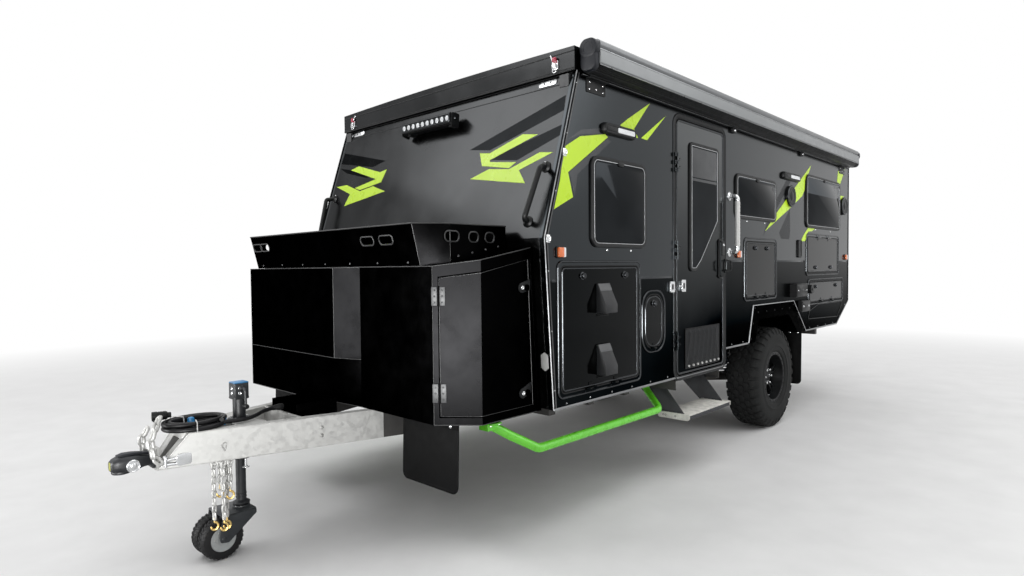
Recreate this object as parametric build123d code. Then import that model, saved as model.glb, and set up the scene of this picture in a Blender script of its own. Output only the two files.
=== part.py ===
from build123d import *
import os
from math import atan2, cos, degrees, hypot, radians, tan

# Pop-top caravan on one axle, in millimetres.
# X runs to the door side, Y runs to the tail, Z is up; the ground is Z = 0 and the axle is Y = 0.
# At the end everything is moved so that the origin is the centre of the footprint.

# ---- body shell -------------------------------------------------------------------------------
half_width = 1080          # outer face of a side wall
wall = 35                  # sandwich wall, floor and roof rim
nose_low_y = -2985         # front wall: lower edge, knee and top
nose_knee_y = -3045
nose_knee_z = 1515
nose_high_y = -2775
tail_y = 1885
body_top = 2385
skirt_z = 650              # lower edge ahead of the sill step
sill_z = 770               # lower edge behind it
sill_step_y = -1030
tail_cut_y = 1500          # departure cut in the lower rear corner
tail_cut_z = 990
low_floor_end_y = -2150    # the front locker floor steps up to the main floor here
seal_gap = 0.3             # roof, covers and lids rest on seals this far off
move_gap = 5               # clearance round every door and hatch

# ---- pop-top roof -----------------------------------------------------------------------------
roof_height = 135
roof_crown = 12
roof_overhang = 20         # ahead of the top of the front wall and behind the tail
roof_skin = 30
awning_depth = 113
awning_height = 165
awning_front_y = -2760
awning_rear_y = 1860
awning_round = 28
awning_rail = 2

# ---- wheels and running gear ------------------------------------------------------------------
tyre_radius = 421          # 285/75R16
tyre_width = 272
rim_radius = 212
wheel_outer_x = 1052
stub_radius = 30
running_gap = 0.3
arch_flange_stand = 6      # the flat flange round an arch stands this far off the wall
arch_top_z = 945
wheel_box_x = 738
wheel_box_sheet = 6

# ---- chassis and drawbar ----------------------------------------------------------------------
rail_x = 560
rail_width = 50
rail_top = 650
rail_low = 500
rail_rear_y = 1750
beam_top = 640
beam_low = 490
beam_tip_y = -4478
beam_tip_x = 35
beam_joint_y = -3494       # galvanised beam ahead of here, black chassis behind
beam_slope = 0.2943        # sideways run of a drawbar beam for each unit rearwards
jockey_y = -4095
jockey_wheel_radius = 100
jockey_wheel_width = 62
jockey_trail = 118
coupling_tip_y = -4655

# ---- front box and tray -----------------------------------------------------------------------
box_half = 1000
box_front_y = -3550
box_corner_y = -3403
box_corner_x = 830
box_low = 640
box_high = 1380
box_rise = 0.18            # the lid rises to the rear at this slope
box_wall = 25
box_door_low = 680
box_door_drop = 58         # door edge below the lid
tray_top = 1580
tray_sheet = 5
tray_lean = 50

# ---- openings in the side walls: y and z limits -------------------------------------------------
door_y = (-1756, -1069)
door_z = (660, 2310)
left_windows = ((-2664, -2125, 1478, 1962), (-878, -115, 1722, 2048), (600, 1569, 1712, 2187))
right_windows = ((-2664, -2125, 1478, 1962), (-1300, -537, 1722, 2048), (600, 1569, 1712, 2187))
rear_window = (-480, 480, 1760, 2140)
window_round = 55
window_flange = 20
window_stand = 10
hatch_frame = 30
hatch_frame_stand = 4
hatch_round = 38
pill_round = 100           # corners of the narrow, pill-shaped hatch
pill_hatches = ("left_slim_hatch",)
hatch_thick = 26
hinge_radius = 6
hinge_pin = 3
hinge_leaf = 3


nose_inner = wall / cos(atan2(nose_high_y - nose_knee_y, body_top - nose_knee_z))


def block(x0, x1, y0, y1, z0, z1):
    return Pos((x0 + x1) / 2, (y0 + y1) / 2, (z0 + z1) / 2) * Box(x1 - x0, y1 - y0, z1 - z0)


def plate_x(points, x0, x1):
    """A polygon of (y, z) points, thick from x0 to x1."""
    face = make_face(Polyline(*points, close=True))
    return Pos(x0, 0, 0) * extrude(Plane.YZ * face, amount=x1 - x0)


def plate_y(points, y0, y1):
    """A polygon of (x, z) points, thick from y0 to y1."""
    face = make_face(Polyline(*points, close=True))
    return Pos(0, y1, 0) * extrude(Plane.XZ * face, amount=y1 - y0)


def plate_z(points, z0, z1):
    """A polygon of (x, y) points, thick from z0 to z1."""
    face = make_face(Polyline(*points, close=True))
    return Pos(0, 0, z0) * extrude(Plane.XY * face, amount=z1 - z0)


def round_plate_x(y0, y1, z0, z1, radius, x0, x1):
    """A rectangle with round corners that faces sideways."""
    face = RectangleRounded(y1 - y0, z1 - z0, radius)
    return Pos(x0, (y0 + y1) / 2, (z0 + z1) / 2) * extrude(Plane.YZ * face, amount=x1 - x0)


def rod(start, end, radius):
    """A straight round bar between two points."""
    path = Line(start, end)
    return sweep(Plane(origin=path @ 0, z_dir=path % 0) * Circle(radius), path=path)


def tube(points, bend, radius):
    """A round bar along straight runs with tangent bends."""
    path = FilletPolyline(*points, radius=bend)
    return sweep(Plane(origin=path @ 0, z_dir=path % 0) * Circle(radius), path=path)


def other_side(shape):
    return mirror(shape, about=Plane.YZ)


def grown(limits, margin):
    y0, y1, z0, z1 = limits
    return y0 - margin, y1 + margin, z0 - margin, z1 + margin


def beam_x(y):
    """Centre line of the near drawbar beam."""
    return beam_tip_x + beam_slope * (y - beam_tip_y)


def lid_z(y):
    """Top face of the front box."""
    return box_high + box_rise * (y - box_front_y)


def nose_y(z):
    """Outer face of the front wall at a height."""
    if z < nose_knee_z:
        return nose_low_y + (nose_knee_y - nose_low_y) * (z - skirt_z) / (nose_knee_z - skirt_z)
    return nose_knee_y + (nose_high_y - nose_knee_y) * (z - nose_knee_z) / (body_top - nose_knee_z)


# ---- wheel arches -------------------------------------------------------------------------------
arch_opening = ((-516, -456), (183, 409))       # y at the sill and at the top, front and rear edge
arch_flange = ((-638, -552), (300, 605))
arch_flange_top = 1055


def arch_face(edges, top):
    """Outline of a wheel arch in (y, z), carried on down past the sill along its slopes."""
    (front_low, front_top), (rear_top, rear_low) = edges
    drop = 400
    front_foot = front_low + (front_low - front_top) * drop / (top - sill_z)
    rear_foot = rear_low + (rear_low - rear_top) * drop / (top - sill_z)
    return make_face(Polyline((front_foot, sill_z - drop), (front_top, top), (rear_top, top),
                              (rear_foot, sill_z - drop), close=True))


def arch_prism(margin, x0, x1, low=sill_z):
    """The arch opening grown by a margin, thick from x0 to x1, above a height."""
    face = arch_face(arch_opening, arch_top_z)
    if margin:
        face = offset(face, amount=margin, kind=Kind.INTERSECTION)
    prism = Pos(x0, 0, 0) * extrude(Plane.YZ * face, amount=x1 - x0)
    return prism & block(x0 - 1, x1 + 1, -1500, 1500, low, 1500)


def wheel_arch():
    """Flat flange on the wall and the box over the wheel, for the door side."""
    flange_x = half_width + arch_flange_stand
    flange = Pos(half_width, 0, 0) * extrude(Plane.YZ * arch_face(arch_flange, arch_flange_top),
                                             amount=arch_flange_stand)
    flange &= block(0, 2000, -1500, 1500, sill_z, 1500)
    flange -= arch_prism(0, half_width - 1, flange_x + 1, sill_z - 1)
    shell = arch_prism(wheel_box_sheet, wheel_box_x - wheel_box_sheet, half_width)
    shell -= arch_prism(0, wheel_box_x, half_width + 1, sill_z - 1)
    return flange + shell


def arch_cut():
    return arch_prism(wheel_box_sheet, wheel_box_x - wheel_box_sheet, half_width + 1, sill_z - 60)


# ---- hatches ------------------------------------------------------------------------------------
def hinge_pair(start, end, knuckles):
    """Knuckles along a pin: the carried share and the share on the frame, with the pin."""
    length = hypot(*[b - a for a, b in zip(start, end)])
    step = length / knuckles
    point = lambda s: tuple(a + (b - a) * s / length for a, b in zip(start, end))
    fixed = rod(start, end, hinge_pin)
    moving = None
    for k in range(knuckles):
        near = k * step + (0.4 if k % 2 else 0)
        far = (k + 1) * step - (0.4 if k % 2 else 0)
        knuckle = rod(point(near), point(far), hinge_radius)
        if k % 2:
            knuckle -= rod(point(near - 1), point(far + 1), hinge_pin + running_gap)
            moving = knuckle if moving is None else moving + knuckle
        else:
            fixed += knuckle
    return fixed, moving


hatch_hinge_out = hatch_frame_stand + hinge_leaf + hinge_radius - 1


def hatch(limits, side, corner):
    """A hatch in the door-side wall: panel, frame with hinge halves, and the hole it needs.

    The limits are the outside of its frame; side says which edge its hinge is on."""
    y0, y1, z0, z1 = grown(limits, -hatch_frame)
    opening = grown((y0, y1, z0, z1), move_gap)
    hole = round_plate_x(*opening, corner - 8, half_width - wall - 1, half_width + 20)
    swing = hypot(z1 - z0, hatch_hinge_out + hatch_thick - hatch_frame_stand) - (z1 - z0)
    low, high = (z0, z1 - swing) if side == "low" else (z0 + swing, z1)
    face = half_width + hatch_frame_stand
    panel = round_plate_x(y0, y1, low, high, corner - 12, face - hatch_thick, face)
    frame = round_plate_x(*limits, corner, half_width, half_width + hatch_frame_stand)
    frame -= hole
    out = half_width + hatch_hinge_out
    leaf_x = half_width + hatch_frame_stand
    edge = z0 - move_gap / 2 if side == "low" else z1 + move_gap / 2
    inward = 1 if side == "low" else -1
    count = 1 if y1 - y0 < 300 else 2
    for k in range(count):
        centre = y0 + (y1 - y0) * (k + 1) / (count + 1)
        fixed, moving = hinge_pair((out, centre - 45, edge), (out, centre + 45, edge), 3)
        leaf = block(leaf_x, leaf_x + hinge_leaf, centre - 14, centre + 14,
                     min(edge, edge + inward * 30), max(edge, edge + inward * 30))
        panel += moving + (leaf - rod((out, centre - 60, edge), (out, centre + 60, edge), hinge_radius - 1))
        for end in (-1, 1):
            y_mid = centre + end * 30
            frame += block(leaf_x, leaf_x + hinge_leaf, y_mid - 14, y_mid + 14,
                           min(edge, edge - inward * 22), max(edge, edge - inward * 22))
        frame += fixed
    return panel, frame, hole


def latch(y, z, radius=14):
    """Round compression lock on a hatch face."""
    face = half_width + hatch_frame_stand
    return rod((face, y, z), (face + 14, y, z), radius)


# Outside of each frame, hinge edge, and lock places, for the door side and then the far side
left_hatches = {
    "left_front_hatch": ((-2950, -2180, 697, 1400), "low", ((-2743, 1322), (-2347, 1322))),
    "left_slim_hatch": ((-2163, -1897, 847, 1224), "low", ((-2030, 1144),)),
    "left_middle_hatch": ((-719, -89, 1096, 1580), "low", ((-517, 1504), (-290, 1504))),
    "left_rear_hatch": ((619, 1547, 1271, 1654), "high", ((862, 1345), (1297, 1345))),
    "left_tail_hatch": ((675, 1690, 1000, 1238), "low", ((862, 1165), (1457, 1165))),
}
right_hatches = {
    "right_front_hatch": ((-2950, -2180, 697, 1400), "low", ((-2743, 1322), (-2347, 1322))),
    "right_rear_hatch": ((700, 1250, 1000, 1400), "high", ((860, 1075), (1090, 1075))),
}
vent_y = (-2620, -2513)
vent_z = ((1120, 1275), (785, 945))
vent_depth = 62


def vent_hood(z_range):
    """Sloping hood over a louvred vent."""
    low, high = z_range
    face = half_width + hatch_frame_stand
    out = face + vent_depth
    outline = [(face, low), (out, low), (out, low + 45), (face + 8, high), (face, high)]
    return plate_y(outline, *vent_y)


# ---- walls --------------------------------------------------------------------------------------
def side_outline():
    return [(nose_low_y, skirt_z), (nose_knee_y, nose_knee_z), (nose_high_y, body_top), (tail_y, body_top),
            (tail_y, tail_cut_z), (tail_cut_y, sill_z), (sill_step_y, sill_z), (sill_step_y, skirt_z)]


def window(limits):
    """Framed acrylic pane for the door side, with a flange outside the wall."""
    pane = round_plate_x(*limits, window_round, half_width, half_width + window_stand)
    plug = grown(limits, -window_flange - 0.5)
    return pane + round_plate_x(*plug, window_round - window_flange, half_width - wall + 5, half_width)


def window_hole(limits):
    hole = grown(limits, -window_flange)
    return round_plate_x(*hole, window_round - window_flange, half_width - wall - 1, half_width + 1)


def side_wall(windows, hatches, with_door):
    """Wall of the door side; the far side is its mirror image with other openings."""
    panel = plate_x(side_outline(), half_width - wall, half_width) - arch_cut()
    for limits in windows:
        panel -= window_hole(limits)
    carried = {}
    for name, (limits, side, locks) in hatches.items():
        corner = pill_round if name in pill_hatches else hatch_round
        lid, frame, hole = hatch(limits, side, corner)
        panel = panel - hole + frame
        for y, z in locks:
            lid += latch(y, z)
        carried[name] = lid
    if with_door:
        panel -= block(half_width - wall - 1, half_width + 1, *door_y, *door_z)
    return panel, carried


def front_wall():
    outer = [(nose_low_y, skirt_z), (nose_knee_y, nose_knee_z), (nose_high_y, body_top)]
    outline = outer + [(y + nose_inner, z) for y, z in reversed(outer)]
    return plate_x(outline, wall - half_width, half_width - wall)


def rear_wall():
    panel = block(wall - half_width, half_width - wall, tail_y - wall, tail_y, tail_cut_z, body_top)
    x0, x1, z0, z1 = rear_window
    width, height = x1 - x0 - 2 * window_flange, z1 - z0 - 2 * window_flange
    hole = RectangleRounded(width, height, window_round - window_flange)
    cutter = extrude(Plane.XZ * hole, amount=wall + 2)
    return panel - Pos((x0 + x1) / 2, tail_y + 1, (z0 + z1) / 2) * cutter


def rear_pane():
    x0, x1, z0, z1 = rear_window
    centre = ((x0 + x1) / 2, tail_y, (z0 + z1) / 2)
    outer = RectangleRounded(x1 - x0, z1 - z0, window_round)
    shrink = 2 * window_flange + 1
    inner = RectangleRounded(x1 - x0 - shrink, z1 - z0 - shrink, window_round - window_flange)
    flange = Pos(0, window_stand, 0) * extrude(Plane.XZ * outer, amount=window_stand)
    return Pos(*centre) * (flange + extrude(Plane.XZ * inner, amount=wall - 5))


def floor_pan():
    """Main floor, the lower front locker floor and the slope of the departure cut."""
    slope = (tail_cut_z - sill_z) / (tail_y - tail_cut_y)
    rear = tail_y - wall
    rear_z = sill_z + slope * (rear - tail_cut_y)
    lift = wall * hypot(1, slope)
    points = [(nose_y(skirt_z) + nose_inner, skirt_z), (low_floor_end_y, skirt_z), (low_floor_end_y, sill_z),
              (tail_cut_y, sill_z),
              (rear, rear_z), (rear, rear_z + lift), (tail_cut_y - 8, sill_z + wall),
              (low_floor_end_y - wall, sill_z + wall), (low_floor_end_y - wall, skirt_z + wall),
              (nose_y(skirt_z + wall) + nose_inner, skirt_z + wall)]
    pan = plate_x(points, wall - half_width, half_width - wall)
    return pan - arch_cut() - other_side(arch_cut())


# ---- roof ---------------------------------------------------------------------------------------
roof_low = body_top + seal_gap
roof_high = roof_low + roof_height
roof_front_y = nose_high_y - roof_overhang
roof_rear_y = tail_y + roof_overhang


def roof_block(inset):
    """Crowned block that is the roof's outside, or its hollow when inset."""
    half = half_width - inset
    top = roof_high - roof_crown - inset
    edge = Polyline((half, top), (half, roof_low - inset), (-half, roof_low - inset), (-half, top))
    arc = ThreePointArc((-half, top), (0, top + roof_crown), (half, top))
    face = make_face(edge + arc)
    length = roof_rear_y - roof_front_y - 2 * inset
    return Pos(0, roof_rear_y - inset, 0) * extrude(Plane.XZ * face, amount=length)


def roof():
    shell = roof_block(0) - roof_block(roof_skin)
    rail = block(half_width, half_width + awning_rail, awning_front_y + 60, awning_rear_y - 60,
                 roof_low + 20, roof_low + 100)
    return shell + rail


def roof_skirt():
    """Folded canvas band inside the roof and the top of the walls."""
    outer = wall + 12
    inner = outer + 10
    front = nose_y(body_top - skirt_drop) + wall + 30
    low = body_top - skirt_drop
    high = roof_high - roof_crown - roof_skin - seal_gap
    band = block(outer - half_width, half_width - outer, front, tail_y - outer, low, high)
    return band - block(inner - half_width, half_width - inner, front + 10, tail_y - inner, low - 1, high + 1)


skirt_drop = 60


def awning():
    """Roll-out awning in its closed housing, with an end cap at each end."""
    centre_x = half_width + awning_rail + awning_depth / 2
    centre_z = roof_low - 12 + awning_height / 2
    length = awning_rear_y - awning_front_y
    profile = RectangleRounded(awning_depth - 8, awning_height - 8, awning_round)
    housing = Pos(centre_x - 4, awning_rear_y, centre_z) * extrude(Plane.XZ * profile, amount=length)
    cap_face = RectangleRounded(awning_depth, awning_height, awning_round)
    cap = extrude(Plane.XZ * cap_face, amount=45)
    for y in (awning_rear_y + 8, awning_front_y + 37):
        housing += Pos(centre_x, y, centre_z) * cap
    return housing


def air_conditioner():
    body = block(-330, 330, -500, 480, roof_high - 1, roof_high + 190)
    body = fillet(body.edges().filter_by(Axis.Z), 110)
    body = chamfer(body.faces().sort_by(Axis.Z)[-1].edges(), 45)
    return body - roof_block(0)


def solar_panels():
    """Two glass panels on corner feet, ahead of and behind the air conditioner."""
    panels = None
    for y in (-1700, 1150):
        one = block(-500, 500, y - 400, y + 400, roof_high + 8, roof_high + 43)
        for x in (-450, 450):
            for end in (-350, 350):
                one += block(x - 40, x + 40, y + end - 30, y + end + 30, roof_high - 8, roof_high + 8)
        one -= roof_block(0)
        panels = one if panels is None else panels + one
    return panels


# ---- entry door ---------------------------------------------------------------------------------
door_hinge_heights = (2027, 1470, 890)
door_hinge_length = 120
door_window = ((-1580, 1337), (-1500, 1337), (-1425, 1393), (-1172, 1675), (-1172, 2178), (-1580, 2178))
door_frame_stand = 8
door_swing_room = 2.5      # the lock edge swings a little wider than it lies
door_hinge_y = door_y[0]
door_hinge_x = half_width + door_frame_stand + hinge_leaf + hinge_radius - 1


def door_pane_face(margin):
    line = Polyline(*door_window, close=True)
    face = make_face(line)
    face = fillet(face.vertices(), 30)
    return offset(face, amount=margin) if margin else face


def entry_door():
    y0, y1 = door_y[0] + move_gap, door_y[1] - move_gap - door_swing_room
    z0, z1 = door_z[0] + move_gap, door_z[1] - move_gap
    panel = round_plate_x(y0, y1, z0, z1, 40, half_width - wall, half_width + 2)
    hole = extrude(Plane.YZ * door_pane_face(-window_flange), amount=wall + 4)
    panel -= Pos(half_width - wall - 1, 0, 0) * hole
    for z in door_hinge_heights:
        panel += door_hinge(z)[1]
    lock = round_plate_x(-1150, -1100, 1290, 1545, 12, half_width + 2, half_width + 22)
    near, far = half_width + 22, half_width + 48
    loop = tube([(near, -1125, 1400), (far, -1125, 1400), (far, -1125, 1335), (near, -1125, 1335)], 12, 7)
    catch = block(half_width + 2, half_width + 16, -1700, -1655, 1205, 1277)
    return panel + lock + loop + catch


def door_hinge(z):
    """Hinge halves at one height: the frame's and the door's."""
    low = (door_hinge_x, door_hinge_y, z - door_hinge_length / 2)
    high = (door_hinge_x, door_hinge_y, z + door_hinge_length / 2)
    fixed, moving = hinge_pair(low, high, 5)
    step = door_hinge_length / 5
    for k in range(5):
        z_low = z - door_hinge_length / 2 + k * step + 0.4
        z_high = z_low + step - 0.8
        if k % 2:
            leaf = block(half_width + 2, door_hinge_x, door_hinge_y + move_gap, door_hinge_y + 40,
                         z_low, z_high)
            neck = block(door_hinge_x - 4, door_hinge_x + hinge_radius, door_hinge_y + hinge_pin + 1,
                         door_hinge_y + move_gap + 2, z_low, z_high)
            moving += leaf + neck
        else:
            fixed += block(half_width, door_hinge_x, door_hinge_y - 30, door_hinge_y - hinge_pin,
                           z_low, z_high)
    return fixed, moving


def door_window_pane():
    outside = extrude(Plane.YZ * door_pane_face(0), amount=window_stand - 2)
    plug = extrude(Plane.YZ * door_pane_face(-window_flange - 0.5), amount=wall - 8)
    return Pos(half_width + 2, 0, 0) * outside + Pos(half_width + 2 - (wall - 8), 0, 0) * plug


def door_pocket():
    """Pleated shoe pocket on the lower part of the door."""
    pocket = round_plate_x(-1640, -1150, 690, 960, 20, half_width + 2 + seal_gap, half_width + 24)
    return pocket


# ---- front box ----------------------------------------------------------------------------------
def box_plan(inset):
    x_side = box_half - inset
    x_front = box_corner_x - inset * 0.6
    y_front = box_front_y + inset
    y_corner = box_corner_y + inset * 0.3
    back = nose_knee_y + 200
    return [(x_side, back), (x_side, y_corner), (x_front, y_front), (-x_front, y_front), (-x_side, y_corner),
            (-x_side, back)]


def below_lid(drop, back=-2800):
    """Everything under a plane that lies this far below the lid."""
    front = box_front_y - 200
    outline = [(front, 0), (front, lid_z(front) - drop), (back, lid_z(back) - drop), (back, 0)]
    return plate_x(outline, -2000, 2000)


def ahead_of_nose(gap):
    """Everything ahead of the front wall, less a gap."""
    outline = [(-5000, 0), (-5000, 3000), (nose_high_y - gap, body_top), (nose_knee_y - gap, nose_knee_z),
               (nose_low_y - gap, skirt_z), (nose_low_y - gap, 0)]
    return plate_x(outline, -2000, 2000)


box_doors = {
    "left": ((box_corner_x + 22, box_front_y + 20), (box_half, box_corner_y)),
    "right": ((box_half, box_corner_y + 26),),
}
box_door_rear_gap = 30     # strip of box side between a door and the front wall
box_hinge_out = 8
box_hinge_heights = (790, 1240)


def heading(side):
    """Unit vector along the front part of a box door, in plan."""
    if side == "right":
        return 0.0, 1.0
    (x0, y0), (x1, y1) = box_doors[side]
    run = hypot(x1 - x0, y1 - y0)
    return (x1 - x0) / run, (y1 - y0) / run


def box_door_slab(side, grow, depth, out=0):
    """Door panel, bent round the corner on the door side, grown at its edges.

    Both are drawn at +X; the right one is mirrored later."""
    ux, uy = heading(side)
    nx, ny = uy, -ux
    x0, y0 = box_doors[side][0]
    x0, y0 = x0 - ux * grow, y0 - uy * grow
    back = -2900
    outer = [(x0 + nx * out, y0 + ny * out), (box_half + out, back)]
    inner = [(box_half - depth, back), (x0 - nx * depth, y0 - ny * depth)]
    if side == "left":
        bend = tan((atan2(1, 0) - atan2(uy, ux)) / 2)
        outer.insert(1, (box_half + out, box_corner_y - out * bend))
        inner.insert(1, (box_half - depth, box_corner_y + depth * bend))
    slab = plate_z(outer + inner, box_door_low - grow, 1800) & below_lid(box_door_drop - grow)
    return slab & ahead_of_nose(box_door_rear_gap - grow)


def box_hinge_point(side):
    """Centre of a box door's hinge pins in plan."""
    ux, uy = heading(side)
    x0, y0 = box_doors[side][0]
    return x0 - ux * move_gap / 2 + uy * box_hinge_out, y0 - uy * move_gap / 2 - ux * box_hinge_out


def box_hinge(side, z):
    x, y = box_hinge_point(side)
    fixed, moving = hinge_pair((x, y, z - 45), (x, y, z + 45), 5)
    angle = degrees(atan2(*reversed(heading(side))))
    for k in range(5):
        middle = -45 + 18 * k + 9
        way = 1 if k % 2 else -1
        leaf = Pos(way * 16, box_hinge_out - 2.5, middle) * Box(27, 5, 17.2)
        placed = Pos(x, y, z) * Rot(0, 0, angle) * leaf
        if k % 2:
            moving += placed
        else:
            fixed += placed
    return fixed, moving


def front_box():
    solid = plate_z(box_plan(0), box_low, 1900) & below_lid(0)
    hollow = plate_z(box_plan(box_wall), box_low + box_wall, 1900) & below_lid(box_wall)
    solid = (solid & ahead_of_nose(2)) - (hollow & ahead_of_nose(2 + box_wall))
    for side in box_doors:
        opening = box_door_slab(side, move_gap, box_wall + 30, 5)
        hinges = box_hinge(side, box_hinge_heights[0])[0] + box_hinge(side, box_hinge_heights[1])[0]
        if side == "right":
            opening = other_side(opening)
            hinges = other_side(hinges)
        solid = solid - opening + hinges
    return solid + box_cover()


cover_near_top_x = 70      # raised panel on the far half of the box front
cover_near_low_x = -300
cover_foot_x = 240
cover_far_x = -915
cover_depth = 57
cover_fold_z = 893


def box_cover():
    """Raised, folded panel on the far half of the box's front."""
    back = box_front_y + 1
    front = box_front_y - cover_depth
    corner = (-cover_far_x - box_corner_x) * (box_corner_y - box_front_y) / (box_half - box_corner_x)
    far_end = [(cover_far_x, front), (cover_far_x, back + corner), (1 - box_corner_x, back)]
    upper = [(cover_foot_x, back), (cover_near_top_x, front), *far_end]
    lower = [(cover_foot_x, back), (cover_near_low_x, front), *far_end]
    tall = plate_z(upper, cover_fold_z, box_high - 2)
    high_face = Pos(0, 0, cover_fold_z) * make_face(Polyline(*upper, close=True))
    low_face = Pos(0, 0, box_low) * make_face(Polyline(*lower, close=True))
    return tall + loft([low_face, high_face])


def box_door(side):
    """Side door of the front box with its hinge halves and locks."""
    door = box_door_slab(side, 0, box_wall)
    for z in box_hinge_heights:
        door += box_hinge(side, z)[1]
    for z in (750, 1270):
        door += rod((box_half - 1, -3100, z), (box_half + 14, -3100, z), 16)
    return door if side == "left" else other_side(door)


# ---- tray on the front box ------------------------------------------------------------------------
tray_near_x = 845
tray_far_x = -960
tray_corner = 100
tray_far_corner = 35
tray_back_y = -3075
tray_side_slots = ((-3440, 85), (-3300, 60), (-3190, 60))
tray_front_slots = (360, 520, -860, -760)


def tray_outline(inset, lean):
    near, far = tray_near_x - inset, tray_far_x + inset
    front = box_front_y + inset
    cut = tray_corner - inset * 0.4
    far_cut = tray_far_corner - inset * 0.4
    return [(near, tray_back_y - inset), (near, front + cut), (near - cut, front - lean),
            (far + far_cut, front - lean), (far, front + far_cut), (far, tray_back_y - inset)]


def front_tray():
    """Open tray with a leaning front, on the box lid."""
    low = box_high - 1
    outside = loft([Pos(0, 0, low) * make_face(Polyline(*tray_outline(0, 0), close=True)),
                    Pos(0, 0, tray_top) * make_face(Polyline(*tray_outline(0, tray_lean), close=True))])
    inset = tray_sheet
    inside = loft([Pos(0, 0, low) * make_face(Polyline(*tray_outline(inset, 0), close=True)),
                   Pos(0, 0, tray_top) * make_face(Polyline(*tray_outline(inset, tray_lean), close=True))])
    cutter = inside - below_lid(-tray_sheet)
    tray = (outside - cutter) - below_lid(0)
    for y, length in tray_side_slots:
        slot = extrude(RectangleRounded(46, length, 20), amount=20, both=True)
        for x in (tray_near_x, tray_far_x):
            tray -= Pos(x, y, 1520) * Rot(0, 90, 0) * slot
    slot = extrude(RectangleRounded(110, 42, 18), amount=60, both=True)
    for x in tray_front_slots:
        tray -= Pos(x, box_front_y - tray_lean / 2, 1510) * Rot(90, 0, 0) * slot
    return tray


# ---- chassis --------------------------------------------------------------------------------------
cross_ys = (-2060, -1800, -1130, -720, 620, 1140)
raiser_low = 690


def chassis_beam():
    """Black rear part of a drawbar beam, under the front box, for the door side."""
    start_y, end_y = beam_joint_y, -2760
    half = rail_width / 2
    points = [(beam_x(start_y) - half, start_y), (beam_x(start_y) + half, start_y),
              (beam_x(end_y) + half, end_y), (beam_x(end_y) - half, end_y)]
    return plate_z(points, beam_low, beam_top)


arm_pivot_y = -640
arm_pivot_z = 480
arm_x = (620, 700)


def chassis():
    """Two rails with the rear ends of the drawbar beams and the cross-members between them."""
    side = block(rail_x - rail_width / 2, rail_x + rail_width / 2, -2970, rail_rear_y, rail_low, rail_top)
    side += chassis_beam()
    frame = side + other_side(side)
    for y in (-2900, -2560, -2200):
        frame += block(-rail_x, rail_x, y - 25, y + 25, rail_top - 80, rail_top)
    return frame + block(-rail_x, rail_x, rail_rear_y - 50, rail_rear_y, rail_low, rail_top)


def low_outriggers():
    """Arms from the rails to the sill, under the low front floor."""
    arms = None
    for y in (-2900, -2560, -2200):
        one = block(rail_x + rail_width / 2, 1000, y - 25, y + 25, rail_top - 50, rail_top)
        one += other_side(one)
        arms = one if arms is None else arms + one
    return arms


def floor_bearers():
    """Cross-members under the main floor, each on a raiser on either rail."""
    bearers = None
    for y in cross_ys:
        reach = 1030 if y < -1000 else 720
        reach = 1000 if y > 600 else reach
        one = block(-reach, reach, y - 25, y + 25, raiser_low, sill_z)
        for x in (-rail_x, rail_x):
            one += block(x - 25, x + 25, y - 25, y + 25, rail_top, raiser_low + 1)
        bearers = one if bearers is None else bearers + one
    return bearers


def arm_brackets():
    """Pivot bracket and spring seat of a trailing arm, on the side of each rail."""
    outside = rail_x + rail_width / 2
    low = arm_pivot_z - 50
    bracket = [(arm_pivot_y - 75, rail_top), (arm_pivot_y - 60, low), (arm_pivot_y + 60, low),
               (arm_pivot_y + 75, rail_top)]
    side = block(outside, arm_x[1] + 12, arm_pivot_y - 75, arm_pivot_y + 75, rail_top - 20, rail_top)
    for x0 in (arm_x[0] - 12, arm_x[1] + 2):
        side += plate_x(bracket, x0, x0 + 10)
    side += rod((outside, arm_pivot_y, arm_pivot_z), (arm_x[1] + 12, arm_pivot_y, arm_pivot_z), 20)
    side += block(outside, arm_x[1] + 12, spring_y - 80, spring_y + 80, rail_top - 12, rail_top)
    return side + other_side(side)


spring_y = -170


def suspension_arm():
    """Trailing arm with its coil spring, damper and stub axle, for the door side."""
    x0, x1 = arm_x
    arm = plate_x([(arm_pivot_y - 45, arm_pivot_z - 40), (60, tyre_radius - 55), (60, tyre_radius + 55),
                   (arm_pivot_y - 45, arm_pivot_z + 40)], x0, x1)
    arm -= rod((x0 - 1, arm_pivot_y, arm_pivot_z), (x1 + 1, arm_pivot_y, arm_pivot_z), 20.3)
    arm += rod((x0 + 5, 0, tyre_radius), (wheel_hub_x, 0, tyre_radius), stub_radius)
    middle = (x0 + x1) / 2
    arm += rod((middle, spring_y, tyre_radius + 20), (middle, spring_y, rail_top - 12 - seal_gap), 55)
    return arm


wheel_hub_x = 960


def tyre():
    """Mud tyre of the door side."""
    middle = wheel_outer_x - tyre_width / 2
    half = tyre_width / 2
    seat = rim_radius
    outline = [(half - 22, seat), (half, seat + 70), (half - 6, tyre_radius - 42), (half - 34, tyre_radius),
               (-half + 34, tyre_radius), (-half + 6, tyre_radius - 42), (-half, seat + 70),
               (-half + 22, seat)]
    face = make_face(Polyline(*outline, close=True))
    ring = revolve(Plane.XY * face, axis=Axis.X)
    return Pos(middle, 0, tyre_radius) * ring


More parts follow.
